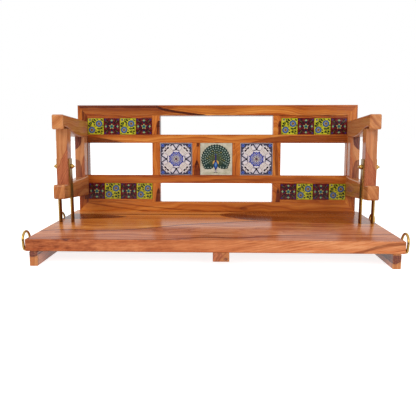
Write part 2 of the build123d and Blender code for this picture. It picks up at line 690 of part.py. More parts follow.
def make_loops():
    """Four bails of thick brass wire, each turning in a pair of lugs on the seat's edge."""
    wire_radius = LOOP_WIRE_DIAMETER / 2
    half = LOOP_SPACING / 2
    arch_z = LOOP_HEIGHT - half
    bend = LOOP_BEND_RADIUS
    path = Wire(
        [
            Line((LOOP_STUB_END, 0), (half - bend, 0)),
            RadiusArc((half - bend, 0), (half, bend), -bend),
            Line((half, bend), (half, arch_z)),
            ThreePointArc((half, arch_z), (0, LOOP_HEIGHT), (-half, arch_z)),
            Line((-half, arch_z), (-half, bend)),
            RadiusArc((-half, bend), (-half + bend, 0), -bend),
            Line((-half + bend, 0), (-LOOP_STUB_END, 0)),
        ]
    )
    start = Plane(origin=(LOOP_STUB_END, 0, 0), z_dir=(1, 0, 0))
    bail = Plane.YZ.location * sweep(start * Circle(wire_radius), path=path)
    for name, side, y in loop_places():
        pivot = Pos(side * PIVOT_X, y, -PIVOT_DOWN)
        nodes[f"hanging_loop_{name}"] = pivot * Rot(0, side * LOOP_LEAN, 0) * bail
        lugs = []
        for along in (-1, 1):
            lug_y = along * (LUG_INNER_Y + LUG_WIDTH / 2)
            start_y = lug_y - LUG_WIDTH / 2
            knuckle = rod((0, start_y, 0), (0, 1, 0), LUG_WIDTH, LUG_RADIUS)
            base = block(
                mirrored(side, -PIVOT_OUT, 0),
                (start_y, start_y + LUG_WIDTH),
                (-LUG_RADIUS, LUG_RADIUS),
            )
            hole = rod((0, start_y, 0), (0, 1, 0), LUG_WIDTH, wire_radius + PIVOT_CLEARANCE)
            lug = pivot * (knuckle + base - hole)
            lug = lug + lug_shank(side, y + lug_y, LUG_SHANK_DIAMETER / 2)
            lugs.append(lug)
        nodes[f"loop_lugs_{name}"] = Compound(lugs)


def finish():
    """Moves every node to the part's origin and writes it."""
    os.makedirs("parts", exist_ok=True)
    groups = {
        "batten_screws": batten_screws,
        "back_screws": back_screws,
        "arm_screws": arm_screws,
        "bar_screws": bar_screws,
    }
    for name, screws in groups.items():
        nodes[name] = Compound([sunk_screw(*place) for place in screws])
    for name, shape in nodes.items():
        export_step(ORIGIN_SHIFT * shape, f"parts/{name}.step")


make_seat()
make_battens()
make_back()
make_tiles()
make_arms()
make_brass()
make_loops()
finish()
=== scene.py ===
import math
import bmesh
import bpy
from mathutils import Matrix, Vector


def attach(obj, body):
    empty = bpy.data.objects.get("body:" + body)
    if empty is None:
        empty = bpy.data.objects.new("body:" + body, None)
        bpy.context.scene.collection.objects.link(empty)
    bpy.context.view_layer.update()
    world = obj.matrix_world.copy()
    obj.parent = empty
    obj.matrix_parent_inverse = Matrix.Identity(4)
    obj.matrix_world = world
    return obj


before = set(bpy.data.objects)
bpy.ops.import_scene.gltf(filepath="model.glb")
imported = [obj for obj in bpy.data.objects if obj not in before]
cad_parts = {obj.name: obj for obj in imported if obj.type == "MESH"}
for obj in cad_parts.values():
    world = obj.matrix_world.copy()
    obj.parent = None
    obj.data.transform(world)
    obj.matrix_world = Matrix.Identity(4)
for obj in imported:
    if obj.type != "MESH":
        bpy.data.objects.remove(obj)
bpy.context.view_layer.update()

# Looks of the wooden swing seat: lacquered hardwood with its grain and dark heartwood figure,
# aged brass, glazed tiles with raised painted motifs, and a plain studio.
# Scene units are metres. The patterns work in millimetres in the seat's own frame, in which
# X runs to the right, Y backwards from the seat's front edge and Z upwards from its top.

MM = 0.001
SEAT_FRONT_Y = -0.2289457
SEAT_TOP_Z = 0.067
BACK_FOOT_Y = 405.432
BACK_RECLINE = math.radians(3.85)

TILE_FACE_DEPTH = 1.2
LARGE_TILE = 101.4
LARGE_TILE_FOOT = 118.3
LARGE_TILE_MIDDLES = {"left": -127.4, "peacock": 0.0, "right": 127.4}
SMALL_TILE = 50.6
SMALL_TILE_PITCH = 51.4
SMALL_TILE_ROWS = {"lower": 41.1, "upper": 246.3}
SMALL_TILE_STARTS = {"left": -409.15, "right": 204.35}


# ------------ node graphs


def rgb(red, green, blue):
    """A colour as seen on screen, 0 to 255, as linear light."""
    linear = []
    for value in (red, green, blue):
        level = value / 255
        linear.append(level / 12.92 if level <= 0.04045 else ((level + 0.055) / 1.055) ** 2.4)
    return (*linear, 1.0)


class Field:
    """A number that varies over a surface: the output of a shader node, with plain arithmetic."""

    def __init__(self, graph, socket):
        self.graph = graph
        self.socket = socket

    def __add__(self, other):
        return self.graph.math("ADD", self, other)

    def __radd__(self, other):
        return self.graph.math("ADD", other, self)

    def __sub__(self, other):
        return self.graph.math("SUBTRACT", self, other)

    def __rsub__(self, other):
        return self.graph.math("SUBTRACT", other, self)

    def __mul__(self, other):
        return self.graph.math("MULTIPLY", self, other)

    def __rmul__(self, other):
        return self.graph.math("MULTIPLY", other, self)

    def __abs__(self):
        return self.graph.math("ABSOLUTE", self)


CONSTANTS = {"ior": "IOR", "metallic": "Metallic", "specular": "Specular IOR Level"}


class Graph:
    """The node tree of a material or of the world."""

    def __init__(self, owner):
        self.owner = owner
        owner.use_nodes = True
        self.tree = owner.node_tree
        self.tree.nodes.clear()

    def feed(self, value, socket):
        """Links a field, a socket or a node's first output to an input, or sets a plain value on it."""
        if isinstance(value, Field):
            value = value.socket
        elif isinstance(value, bpy.types.Node):
            value = value.outputs[0]
        if isinstance(value, bpy.types.NodeSocket):
            self.tree.links.new(value, socket)
        else:
            socket.default_value = value

    def node(self, kind, inputs=(), **settings):
        """A new shader node. Its inputs are whatever feed takes, by name or in order."""
        node = self.tree.nodes.new("ShaderNode" + kind)
        for key, value in settings.items():
            setattr(node, key, value)
        for key, value in inputs.items() if isinstance(inputs, dict) else enumerate(inputs):
            self.feed(value, node.inputs[key])
        return node

    def math(self, operation, first, second=0.0, clamp=False):
        node = self.node("Math", (first, second), operation=operation, use_clamp=clamp)
        return Field(self, node.outputs[0])

    def parts(self, vector):
        """The three numbers of a vector."""
        return [Field(self, output) for output in self.node("SeparateXYZ", (vector,)).outputs]

    def place(self):
        """The point's X, Y and Z in the seat's frame, in millimetres."""
        x, y, z = self.parts(self.node("TexCoord").outputs["Object"])
        return x * 1000, (y - SEAT_FRONT_Y) * 1000, (z - SEAT_TOP_Z) * 1000

    def rays(self):
        """Whether the ray comes from the camera, from a reflection, or through glass."""
        path = self.node("LightPath").outputs
        return [Field(self, path[name]) for name in ("Is Camera Ray", "Is Glossy Ray", "Is Transmission Ray")]

    def leaning_normal(self, lean):
        """The surface's normal, leaning to the front by some radians."""
        normal = self.node("NewGeometry").outputs["Normal"]
        push = self.node("CombineXYZ", (0.0, 0.0 - lean, 0.0))
        leaning = self.node("VectorMath", (normal, push), operation="ADD")
        return self.node("VectorMath", (leaning,), operation="NORMALIZE")

    def surface(self, colour, roughness, height, height_mm, normal=None, **constants):
        """The surface shader, with a relief of so many mm. constants are set on its own sockets."""
        heights = {"Strength": 1.0, "Distance": height_mm * MM, "Height": height}
        if normal is not None:
            heights["Normal"] = normal
        looks = {"Base Color": colour, "Roughness": roughness, "Normal": self.node("Bump", heights)}
        for name, value in constants.items():
            looks[CONSTANTS[name]] = value
        self.node("OutputMaterial", {"Surface": self.node("BsdfPrincipled", looks)})
        return self.owner


def material_graph(name):
    return Graph(bpy.data.materials.new(name))


def add_object(name, data):
    thing = bpy.data.objects.new(name, data)
    bpy.context.scene.collection.objects.link(thing)
    return thing


def smooth(value, low, high):
    """0 below low, 1 above high and a smooth step between. low may be the larger one."""
    inputs = {"Value": value, "From Min": low, "From Max": high}
    node = value.graph.node("MapRange", inputs, interpolation_type="SMOOTHSTEP", clamp=True)
    return Field(value.graph, node.outputs["Result"])


def both(first, second):
    """The smaller of two fields: of two depths, the depth inside both."""
    return first.graph.math("MINIMUM", first, second)


def either(first, second):
    return first.graph.math("MAXIMUM", first, second)


def distance(side, up):
    return side.graph.math("SQRT", side * side + up * up)


def noise(*place, detail=2.0, roughness=0.5):
    """Noise at a place of three numbers, or along one. The first is a field."""
    graph = place[0].graph
    inputs = {"Scale": 1.0, "Detail": detail, "Roughness": roughness}
    if len(place) == 1:
        inputs["W"] = place[0]
    else:
        inputs["Vector"] = graph.node("CombineXYZ", place)
    dimensions = f"{len(place)}D"
    return Field(graph, graph.node("TexNoise", inputs, noise_dimensions=dimensions).outputs["Fac"])


def curve(value, points):
    """A smooth function of a field through the given (value, result) points."""
    firsts = [point[0] for point in points]
    results = [point[1] for point in points]
    low, high = min(firsts), max(firsts)
    bottom, top = min(results), max(results)
    height = max(top - bottom, 1e-6)
    share = value.graph.math("MULTIPLY", value - low, 1 / (high - low), clamp=True)
    node = value.graph.node("FloatCurve", {"Value": share})
    line = node.mapping.curves[0]
    for index, (first, result) in enumerate(sorted(points)):
        spot = ((first - low) / (high - low), (result - bottom) / height)
        if index < 2:
            line.points[index].location = spot
        else:
            line.points.new(*spot)
    node.mapping.update()
    return Field(value.graph, node.outputs[0]) * height + bottom


def ramp(value, colours, stops):
    """The colour of a field that passes through some colours, each at its stop."""
    node = value.graph.node("ValToRGB", {"Fac": value})
    elements = node.color_ramp.elements
    while len(elements) < len(stops):
        elements.new(0.5)
    for element, position, colour in zip(elements, stops, colours):
        element.position = position
        element.color = colour
    return node.outputs["Color"]


def mix(amount, first, second, blend="MIX"):
    """The first colour, with an amount of the second over it."""
    inputs = {"Factor": amount, "A": first, "B": second}
    return amount.graph.node("Mix", inputs, data_type="RGBA", blend_type=blend).outputs["Result"]


# ------------ wood

# From the darkest growth ring to the palest.
BACK_TONES = (rgb(104, 40, 12), rgb(154, 72, 20), rgb(184, 98, 34), rgb(203, 120, 46), rgb(222, 148, 70))
DIVIDER_TONES = (rgb(114, 46, 14), rgb(162, 78, 24), rgb(192, 105, 38), rgb(208, 124, 50), rgb(224, 150, 74))
SEAT_TONES = (rgb(112, 50, 26), rgb(164, 86, 49), rgb(192, 111, 66), rgb(210, 131, 83), rgb(228, 156, 106))
SEAT_REAR_TONES = (
    rgb(124, 58, 20), rgb(178, 98, 39), rgb(204, 120, 52), rgb(218, 138, 65), rgb(232, 160, 90))
ARM_TONES = (rgb(120, 60, 28), rgb(166, 95, 50), rgb(192, 122, 70), rgb(208, 140, 86), rgb(224, 162, 108))
POST_TONES = (rgb(114, 58, 30), rgb(162, 94, 52), rgb(186, 118, 72), rgb(200, 134, 86), rgb(218, 156, 106))
# Painted light: the side battens' inner faces are painted far paler and pinker, standing in for the white
# floor they reflect.
BATTEN_INNER_LIT_TONES = (
    rgb(160, 84, 62), rgb(206, 124, 92), rgb(232, 152, 116), rgb(244, 172, 136), rgb(250, 190, 156))
BOARD_TONES = (rgb(120, 70, 36), rgb(156, 98, 54), rgb(176, 118, 70), rgb(190, 134, 84), rgb(206, 156, 108))
TONE_STOPS = (0.08, 0.3, 0.5, 0.72, 0.96)
WARM_TINT = (1.0, 0.72, 0.5, 1.0)
COOL_TINT = (1.0, 1.08, 0.86, 1.0)
PORE_BROWN = rgb(92, 40, 18)

# Heartwood at its darkest, as at its rim, and at its palest.
RED_HEART = (rgb(84, 26, 8), rgb(138, 58, 20))
DARK_HEART = (rgb(62, 18, 6), rgb(112, 44, 16))
BROWN_HEART = (rgb(104, 40, 10), rgb(158, 76, 26))
ROSE_HEART = (rgb(140, 66, 40), rgb(190, 108, 72))
# Plum is also painted as the seat's shadow along the top of the side battens.
PLUM_HEART_AND_PAINTED_SHADOW = (rgb(74, 30, 28), rgb(130, 68, 58))
HEART_STOPS = (0.1, 0.9)
# How much pale threads take from it, how far its edge wanders, and half the width of its rim.
HEART_THREADS = 0.45
HEART_RIPPLE_MM = 5.0
HEART_RIM_MM = 2.4

SEED_STEP = 37.3
SEAT_LEAN = math.radians(5.0)
WOOD_RELIEF_MM = 0.05


def wood(name, grain, seed, tones=BACK_TONES, tone=0.0, pith=(70.0, -90.0), figure=None, contrast=1.0,
         gloss=0.15, other_tones=None, swirl=50.0, bands=(0.9, 0.8, 0.7), extra_tone=None, specular=0.36,
         lean=None):
    """Lacquered hardwood whose fibres run along one axis, with growth rings about a far pith.

    figure(x, y, z, wobble) returns (field, colours, softness, strength) for each piece of dark
    heartwood, or of painted shadow on the side battens: field is the depth inside it in mm.
    other_tones is (tones, their share at a place) for a second palette, which on the side battens'
    inner faces is painted light. extra_tone and lean are functions of the place, and contrast may be
    one; on the seat, extra_tone also holds painted light at its rear.
    The noises' scales are per mm, and each seed takes another stretch of them.
    """
    graph = material_graph(name)
    x, y, z = graph.place()
    along, across, through = {"X": (x, y, z), "Y": (y, x, z), "Z": (z, x, y)}[grain]
    shift = seed * SEED_STEP

    def fibres(run, width, detail=2.0, roughness=0.5):
        """Noise drawn out along the grain."""
        return noise(along * run + shift, across * width, through * width, detail=detail, roughness=roughness)

    # growth rings, wide to fine, about a pith that wanders along the piece
    wobble = fibres(0.0035, 0.009, 3.0, 0.45) - 0.5
    sway = noise(along * 0.005, across * 0.012 + shift, through * 0.012) - 0.5
    ring = distance(across - pith[0] + wobble * swirl, through - pith[1] + sway * swirl)
    broad = noise(ring * 0.04 + shift, roughness=0.6) - 0.5
    middle = noise(ring * 0.13 + shift * 2, roughness=0.6) - 0.5
    fine = noise(ring * 0.42 + shift, detail=3.0, roughness=0.65) - 0.5
    vein = smooth(abs(middle), 0.028, 0.0)
    # fibres and broad patches, and the colour that all of them give
    fibre = fibres(0.016, 0.7, 4.0, 0.6) - 0.5
    patch = noise(along * 0.006, across * 0.02 + shift, through * 0.02) - 0.5
    contrast = contrast(x, y, z) if callable(contrast) else contrast
    shade = 0.5 + (broad * bands[0] + middle * bands[1] + fine * bands[2]) * contrast
    shade = shade + fibre * 0.5 + patch * 0.5 + tone - vein * (0.16 * contrast)
    if extra_tone:
        shade = shade + extra_tone(x, y, z)
    colour = ramp(shade, tones, TONE_STOPS)
    if other_tones:
        tones_there, spread = other_tones
        colour = mix(spread(x, y, z), colour, ramp(shade, tones_there, TONE_STOPS))
    hue = noise(ring * 0.07 + shift * 3, roughness=0.55)
    colour = mix(smooth(hue, 0.56, 0.72) * 0.5, colour, WARM_TINT, blend="MULTIPLY")
    colour = mix(smooth(hue, 0.44, 0.28) * 0.5, colour, COOL_TINT, blend="MULTIPLY")

    if figure:
        grain_shade = 0.5 + fine * 1.2 + fibre * 0.9 + broad * 0.5
        ripple = (fibres(0.03, 0.15) - 0.5) * HEART_RIPPLE_MM
        threads = smooth(fibres(0.011, 0.34, 3.0, 0.65), 0.5, 0.68)
        for field, hearts, soft, strength in figure(x, y, z, wobble):
            # thin rings near the edge, the heartwood itself, and its darker rim; on the side battens these
            # marks are painted shadow
            inside = field + ripple
            rings = noise(inside * (0.42 / soft) + shift, roughness=0.6) - 0.5
            close = smooth(inside, -8 * soft, 0) * smooth(inside, 14 * soft, 4 * soft)
            colour = mix(smooth(abs(rings), 0.05, 0.0) * close * (0.5 * strength), colour, hearts[1])
            heart = ramp(grain_shade + rings * 1.6, hearts, HEART_STOPS)
            cover = smooth(inside, -soft, soft) * strength * (1 - threads * HEART_THREADS)
            colour = mix(cover, colour, heart)
            rim = smooth(abs(inside - soft * 0.4), HEART_RIM_MM, 0.0)
            colour = mix(rim * (0.55 * strength), colour, hearts[0])

    pore = smooth(fibres(0.075, 1.9, 1.0, 0.4), 0.64, 0.72)
    colour = mix(pore * 0.4, colour, PORE_BROWN)
    smudge = noise(x * 0.012, y * 0.012, z * 0.012 + shift, detail=3.0)
    roughness = gloss + smudge * 0.1 + pore * 0.12
    height = fibre * 0.35 - pore * 0.6 + smudge * 0.5
    normal = graph.leaning_normal(lean(x, y, z)) if lean else None
    return graph.surface(colour, roughness, height, WOOD_RELIEF_MM, normal, ior=1.45, specular=specular)


# ------------ heartwood figures, and painted shadow on the side battens

# Lines are (place along the grain, place across it) in the seat's frame. In a streak, the second
# line is its half width, which is below 0 where the streak has ended.


def below(along, across, line):
    """How far, in mm, a point lies below a line that runs along the grain."""
    return curve(along, line) - across


def above(along, across, line):
    return across - curve(along, line)


def streak(along, across, line, half_width):
    """The depth inside a narrow streak about a line."""
    return curve(along, half_width) - abs(across - curve(along, line))


def seat_figure(x, y, z, wobble):
    depth = y + z * 0.5
    near_left = streak(
        x, depth,
        ((-457, 305), (-395, 313), (-343, 314), (-300, 311), (-262, 310)),
        ((-457, 42), (-395, 39), (-343, 31), (-300, 18), (-262, -3)),
    )
    front = ((10, 372), (21, 352), (48, 311), (94, 275), (127, 262), (208, 250), (287, 235), (457, 222))
    rear = ((10, 344), (22, 366), (38, 384), (64, 397), (110, 405), (200, 412), (457, 425))
    rear_right = both(above(x, depth, front), below(x, depth, rear))
    dark_tip = streak(
        x, depth,
        ((12, 356), (48, 340), (94, 318), (150, 302), (240, 298), (330, 290)),
        ((12, 5), (48, 30), (94, 38), (150, 36), (240, 26), (330, -4)),
    )
    long_line = streak(
        x, depth,
        ((-457, 97), (-382, 116), (-305, 107), (-248, 115), (-173, 144), (-135, 165), (-69, 199), (-28, 211),
         (17, 221), (78, 242), (151, 256), (230, 262)),
        ((-457, 3.0), (-150, 4.0), (60, 4.2), (151, 3.0), (230, -5)),
    )
    front_line = streak(
        x, depth,
        ((-120, 4), (-57, 24), (-11, 36), (44, 28), (123, 50), (190, 63), (350, 76), (457, 82)),
        ((-120, 2.0), (0, 5.5), (200, 4.0), (457, 3.0)),
    )
    brown = streak(
        x, depth,
        ((-60, 52), (-24, 60), (5, 82), (45, 78), (100, 58)),
        ((-60, -4), (-24, 5), (5, 10), (45, 8), (100, -4)),
    )
    knot = both(3.4 - distance((x + 356) * 0.42, z + 1), 9 - y)
    edge_streak = streak(
        x, z,
        ((330, -31), (359, -24), (393, -13), (429, -7), (457, -6)),
        ((330, 1.0), (393, 3.0), (457, 3.0)),
    )
    return [
        (brown, BROWN_HEART, 7.0, 0.35),
        (long_line, RED_HEART, 2.2, 1.0),
        (front_line, RED_HEART, 3.0, 0.75),
        (near_left, DARK_HEART, 2.5, 1.0),
        (rear_right, BROWN_HEART, 4.0, 0.85),
        (dark_tip, DARK_HEART, 4.0, curve(x, ((10, 1.0), (90, 0.95), (190, 0.5), (330, 0.05)))),
        (knot, PLUM_HEART_AND_PAINTED_SHADOW, 1.5, 0.75),
        (both(edge_streak, 5 - y), RED_HEART, 2.0, 0.5),
    ]


def seat_rear_share(x, y, z):
    """1 behind the long dark line, where the wood is more golden."""
    line = (
        (-457, 97), (-382, 116), (-305, 107), (-248, 115), (-173, 144), (-69, 199), (17, 221), (151, 240),
        (457, 150))
    return smooth(above(x, y, line), -4, 10)


def seat_tone_and_painted_light(x, y, z):
    """Painted paler at the back, as painted light that offsets the shade the back casts there, and paler
    towards the right of the front edge, which has a slanting figure.
    """
    front = smooth(y, 6, 1)
    rising = curve(x, ((-457, -0.12), (-150, -0.02), (120, 0.15), (330, 0.28), (457, 0.12)))
    slant = noise((x + z * 0.2) * 0.008, y * 0.05, (z - x * 0.2) * 0.34, detail=3.0, roughness=0.6) - 0.5
    mottle = noise((x + z * 1.1) * 0.026, y * 0.05, (z - x * 0.3) * 0.06, detail=4.0, roughness=0.65) - 0.5
    left = smooth(x, -60, -260)
    right = smooth(x, -40, 120)
    edge = front * (rising + slant * (right + 0.4) + mottle * (left * 0.75 + 0.4))
    # Painted light: the rear of the top is painted paler, offsetting the shade that the back casts there.
    return edge + smooth(y, 280, 380) * 0.32


def seat_contrast(x, y, z):
    """The rings are weaker on the front edge."""
    return 1 - smooth(y, 6, 1) * 0.55


def seat_lean(x, y, z):
    """The front half of the top mirrors the back as if it fell away a little, like a cupped board."""
    return smooth(y, 250, 68) * smooth(z, -3, -1) * SEAT_LEAN


def top_rail_figure(x, y, z, wobble):
    along = x + (y - 430) * 1.6
    wedge = below(
        along, z,
        ((-441, 344), (-215, 344), (-186, 335), (-168, 325), (-135, 319), (-90, 312), (-31, 304), (0, 298)),
    )
    tip = streak(
        x, z,
        ((-190, 333), (-168, 324), (-135, 318), (-90, 311), (-31, 305)),
        ((-190, 3.5), (-135, 3.0), (-90, 3.0), (-31, 0.5)),
    )
    edge = both(z - 330.5, -190 - along)
    return [(wedge, RED_HEART, 3.0, 0.62), (tip, DARK_HEART, 2.0, 1.0), (edge, RED_HEART, 1.5, 0.8)]


def upper_rail_figure(x, y, z, wobble):
    left = below(
        x, z,
        ((-441, 239), (-399, 236.5), (-362, 234), (-332, 227.5), (-302, 221), (-270, 212), (-240, 200)),
    )
    right = below(
        x, z,
        ((90, 212), (109, 220), (139, 227.5), (166, 234), (187, 237), (207, 240), (300, 241), (441, 242.5)),
    )
    return [(left, DARK_HEART, 2.0, 0.8), (both(right, x - 85), BROWN_HEART, 1.5, 0.8)]


def bottom_rail_figure(x, y, z, wobble):
    knot = 5.0 - distance((x - 87) * 0.4, z - 12)
    slant = streak(x, z, ((-416, 29), (-305, 12), (-200, 0)), ((-416, 0.5), (-305, 1.2), (-200, 1.0)))
    second = streak(x, z, ((-330, 31), (-183, 13), (-30, 3)), ((-330, 0.5), (-183, 1.2), (-30, 1.0)))
    return [(knot, RED_HEART, 3.0, 0.6), (slant, BROWN_HEART, 1.5, 0.7), (second, BROWN_HEART, 1.5, 0.7)]


def bottom_rail_tone(x, y, z):
    """Paler towards the left."""
    return curve(x, ((-441, 0.10), (-180, 0.10), (40, -0.06), (441, -0.04)))


def lower_rail_figure(x, y, z, wobble):
    grey = streak(x, z, ((-30, 100), (60, 104), (160, 101)), ((-30, -3), (60, 3.0), (160, -3)))
    return [(grey, RED_HEART, 3.0, 0.45)]


def stile_left_figure(x, y, z, wobble):
    inner = above(z, x, ((0, -412), (60, -424), (200, -426), (330, -426)))
    return [(both(inner, z - 40), DARK_HEART, 2.5, 0.85)]


def stile_right_figure(x, y, z, wobble):
    inner = above(z, x, ((0, 437), (120, 434), (230, 436), (338, 441)))
    return [(inner, BROWN_HEART, 2.0, 0.6)]


FLAME_TIP_MM = 15.0


def flame_figure(tip, foot, left, right):
    """A candle flame of heartwood between two edges: their x at the foot, half way up and near the tip."""
    height = tip - foot
    places = (foot, foot + height * 0.5, foot + height * 0.85, tip + 4)
    left_edge = tuple(zip(places, (*left, left[-1] + 9)))
    right_edge = tuple(zip(places, (*right, right[-1] - 5)))

    def figure(x, y, z, wobble):
        inside = both(x - curve(z, left_edge), curve(z, right_edge) - x)
        peak = both(inside, z - (tip - FLAME_TIP_MM))
        return [(inside, RED_HEART, 1.0, 1.0), (peak, DARK_HEART, 0.8, 1.0)]

    return figure


def two_flames_figure(x, y, z, wobble):
    drop = both(3.6 - abs(x + 58.4), z - 208)
    flame = flame_figure(166, 114, (-70, -68, -65), (-51, -53, -58))(x, y, z, wobble)
    return [(drop, DARK_HEART, 1.2, 0.9), *flame]


def divider_four_figure(x, y, z, wobble):
    strip = streak(z, x, ((110, 194), (150, 191), (200, 188), (224, 187)), ((110, 3), (150, 4.5), (224, 2.5)))
    return [(strip, BROWN_HEART, 2.5, 0.75)]


def divider_three_figure(x, y, z, wobble):
    strip = streak(z, x, ((110, 60), (150, 62), (175, 65), (200, 58)), ((110, -1), (150, 1.5), (200, 0.5)))
    return [(strip, BROWN_HEART, 2.0, 0.5)]


def front_post_figure(side):
    def figure(x, y, z, wobble):
        height = z + (y - 206) * 0.7 + wobble * 16
        inner = below(height, x * side, (
            (95, 462), (135, 447), (153, 437), (163, 432), (176, 428), (192, 419), (208, 412), (231, 408.8),
            (254, 406)))
        return [(inner, ROSE_HEART, 1.2, 0.9)]

    return figure


def rear_post_figure(side):
    def figure(x, y, z, wobble):
        outward = x * side
        height = z + (y - 380) * 0.9
        crown = above(
            height, outward,
            ((200, 448), (208, 431), (216, 425), (224, 421.5), (238, 420), (252, 419)),
        )
        low = above(
            height, outward,
            ((88, 419), (119, 420), (141, 421.5), (150, 423.5), (161, 426), (167, 432), (172, 448)),
        )
        inner = below(
            height, outward,
            ((88, 428), (119, 426), (141, 423), (160, 419), (177, 414.5), (186, 408), (200, 400)),
        )
        return [(inner, ROSE_HEART, 1.5, 0.7), (low, PLUM_HEART_AND_PAINTED_SHADOW, 1.6, 0.62), (crown, PLUM_HEART_AND_PAINTED_SHADOW, 1.6, 0.95)]

    return figure


def batten_inner_painted_light_share(x, y, z):
    """1 on the side battens' inner faces, which are painted paler and pinker as painted light, for the white
    floor they reflect.
    """
    return smooth(abs(x), 429, 427.6) * smooth(y, 4, 12)


# Painted shadow: a dark band along the top of the left side batten, where the seat above shades it, in the
# plum heartwood colours.
def batten_left_painted_shadow(x, y, z, wobble):
    edge = above(x, z, ((-447, -40.5), (-441, -43.5), (-434, -43), (-427, -40)))
    return [(edge, PLUM_HEART_AND_PAINTED_SHADOW, 1.2, 0.9)]


# Painted shadow: a dark band along the upper part of the right side batten, under the seat, in the plum
# heartwood colours.
def batten_right_painted_shadow(x, y, z, wobble):
    edge = above(x, z, ((427, -53), (433, -54), (440, -51.5), (447, -47)))
    top = below(x, z, ((427, -34), (437, -33.5), (447, -32.5)))
    return [(both(edge, top), PLUM_HEART_AND_PAINTED_SHADOW, 1.2, 0.9)]


def centre_batten_figure(x, y, z, wobble):
    left = below(z, x, ((-53, 14), (-44, 18), (-36, 22), (-30, 20)))
    knot = 3.6 - distance(x - 30, z + 46)
    return [(left, ROSE_HEART, 3.0, 0.8), (knot, PLUM_HEART_AND_PAINTED_SHADOW, 2.0, 0.7)]


# ------------ metal, glaze


def brass(name, seed, shine=0.0, painted_dark_flats=False):
    """Polished brass gone brown where hands don't reach. On flat bar the wide faces are duller and painted
    dark brown, a painted reflection of the dark wood around them.
    """
    graph = material_graph(name)
    x, y, z = graph.place()
    shift = seed * 11.7
    cloud = noise(x * 0.035 + shift, y * 0.035, z * 0.035, detail=4.0, roughness=0.6)
    speck = noise(x * 0.5, y * 0.5 + shift, z * 0.5, detail=3.0, roughness=0.6)
    brushed = noise(x * 2.5, y * 2.5 + shift, z * 0.05)
    amount = smooth(cloud + (speck - 0.5) * 0.4 - shine, 0.42, 0.72)
    # Painted reflection: the flat bar's wide faces, which face sideways, are painted dark brown as if they
    # mirrored the dark wood around them; the patina is real.
    if painted_dark_flats:
        sideways = graph.parts(graph.node("TexCoord").outputs["Normal"])[0]
        painted_reflection_face = smooth(abs(sideways), 0.5, 0.9)
        amount = either(amount * 0.6, painted_reflection_face * (0.7 + (speck - 0.5) * 0.5))
    bright = mix(speck, rgb(206, 168, 96), rgb(188, 146, 72))
    colour = mix(amount, bright, rgb(104, 72, 34))
    roughness = 0.2 + amount * 0.18 + (brushed - 0.5) * 0.08 + (speck - 0.5) * 0.08
    height = (speck - 0.5) * 0.4 + (brushed - 0.5) * 0.3
    return graph.surface(colour, roughness, height, 0.04, metallic=1.0)


def steel(name, seed):
    """Zinc-plated steel with grey specks."""
    graph = material_graph(name)
    x, y, z = graph.place()
    speck = noise(x * 0.6 + seed, y * 0.6, z * 0.6, detail=4.0, roughness=0.65)
    colour = mix(smooth(speck, 0.45, 0.7), rgb(176, 176, 178), rgb(112, 104, 96))
    return graph.surface(colour, 0.28 + speck * 0.2, speck, 0.03, metallic=1.0)


def glaze(name, seed, colour, deep, crackle=0.25):
    """A glazed tile's ground: pooled colour with specks and a hairline crackle under a clear gloss."""
    graph = material_graph(name)
    x, y, z = graph.place()
    pool = noise(x * 0.07 + seed * 5.1, y * 0.07, z * 0.07, detail=3.0, roughness=0.55)
    speck = noise(x * 1.1, y * 1.1 + seed, z * 1.1, detail=3.0, roughness=0.7)
    cell_place = graph.node("CombineXYZ", (x * 0.16 + pool * 0.8, y * 0.16, z * 0.16 + speck * 0.2))
    cells = graph.node("TexVoronoi", {"Vector": cell_place, "Scale": 1.0}, feature="DISTANCE_TO_EDGE")
    crack = smooth(Field(graph, cells.outputs["Distance"]), 0.03, 0.0)
    amount = smooth(pool + (speck - 0.5) * 0.5, 0.38, 0.68)
    shade = mix(crack * crackle, mix(amount, colour, deep), deep)
    height = pool - 0.5 - crack * 0.15 + (speck - 0.5) * 0.1
    return graph.surface(shade, 0.07 + amount * 0.06 + crack * 0.1, height, 0.12, ior=1.5)


def enamel(name, colour):
    """One colour of the raised painting: a plain pigment with an uneven, glossy skin."""
    graph = material_graph(name)
    x, y, z = graph.place()
    brush = noise(x * 0.35, y * 0.35, z * 0.35, detail=3.0, roughness=0.6)
    return graph.surface(colour, 0.08 + brush * 0.14, brush, 0.06, ior=1.5)


PAINT_COLOURS = {
    "navy": (42, 50, 108), "blue": (54, 84, 138), "sky": (106, 142, 188), "pale_grey": (184, 184, 142),
    "rust": (130, 80, 24), "ochre": (104, 78, 18), "leaf_green": (24, 40, 14), "moss": (20, 36, 18),
    "lime": (132, 146, 40), "cream": (228, 218, 182), "violet": (62, 34, 80), "umber": (48, 18, 16),
    "ink": (36, 24, 34), "olive": (92, 92, 50), "rose": (130, 44, 44), "midnight": (16, 22, 66),
    "aqua": (112, 146, 112), "biscuit": (186, 158, 112), "leek": (92, 138, 84),
    "pistachio": (170, 186, 112), "teal": (16, 78, 120), "slate": (64, 60, 80),
    "cornflower": (84, 108, 182), "royal": (42, 48, 136), "lilac_grey": (150, 142, 168),
    "cream_white": (220, 212, 210), "sand": (176, 160, 146), "khaki": (172, 172, 146),
    "iris": (74, 80, 168), "periwinkle": (132, 142, 212), "lavender": (164, 164, 204),
    "bone": (214, 206, 196), "plum": (92, 48, 58), "fan_green": (34, 56, 52), "fan_olive": (58, 72, 54),
    "fan_moss": (74, 84, 56), "quill": (66, 86, 70), "fan_dark": (24, 44, 50), "fan_teal": (40, 62, 56),
    "eye_light": (150, 170, 148), "eye_gold": (176, 168, 96), "apricot": (206, 168, 100),
    "amber": (196, 132, 50), "body_blue": (40, 98, 172), "indigo": (46, 36, 112), "sage": (150, 156, 116),
}
PAINTS = {name: enamel("paint_" + name, rgb(*colour)) for name, colour in PAINT_COLOURS.items()}


# ------------ tile paintings

# Places on a tile are shares of its width, from its lower left corner.


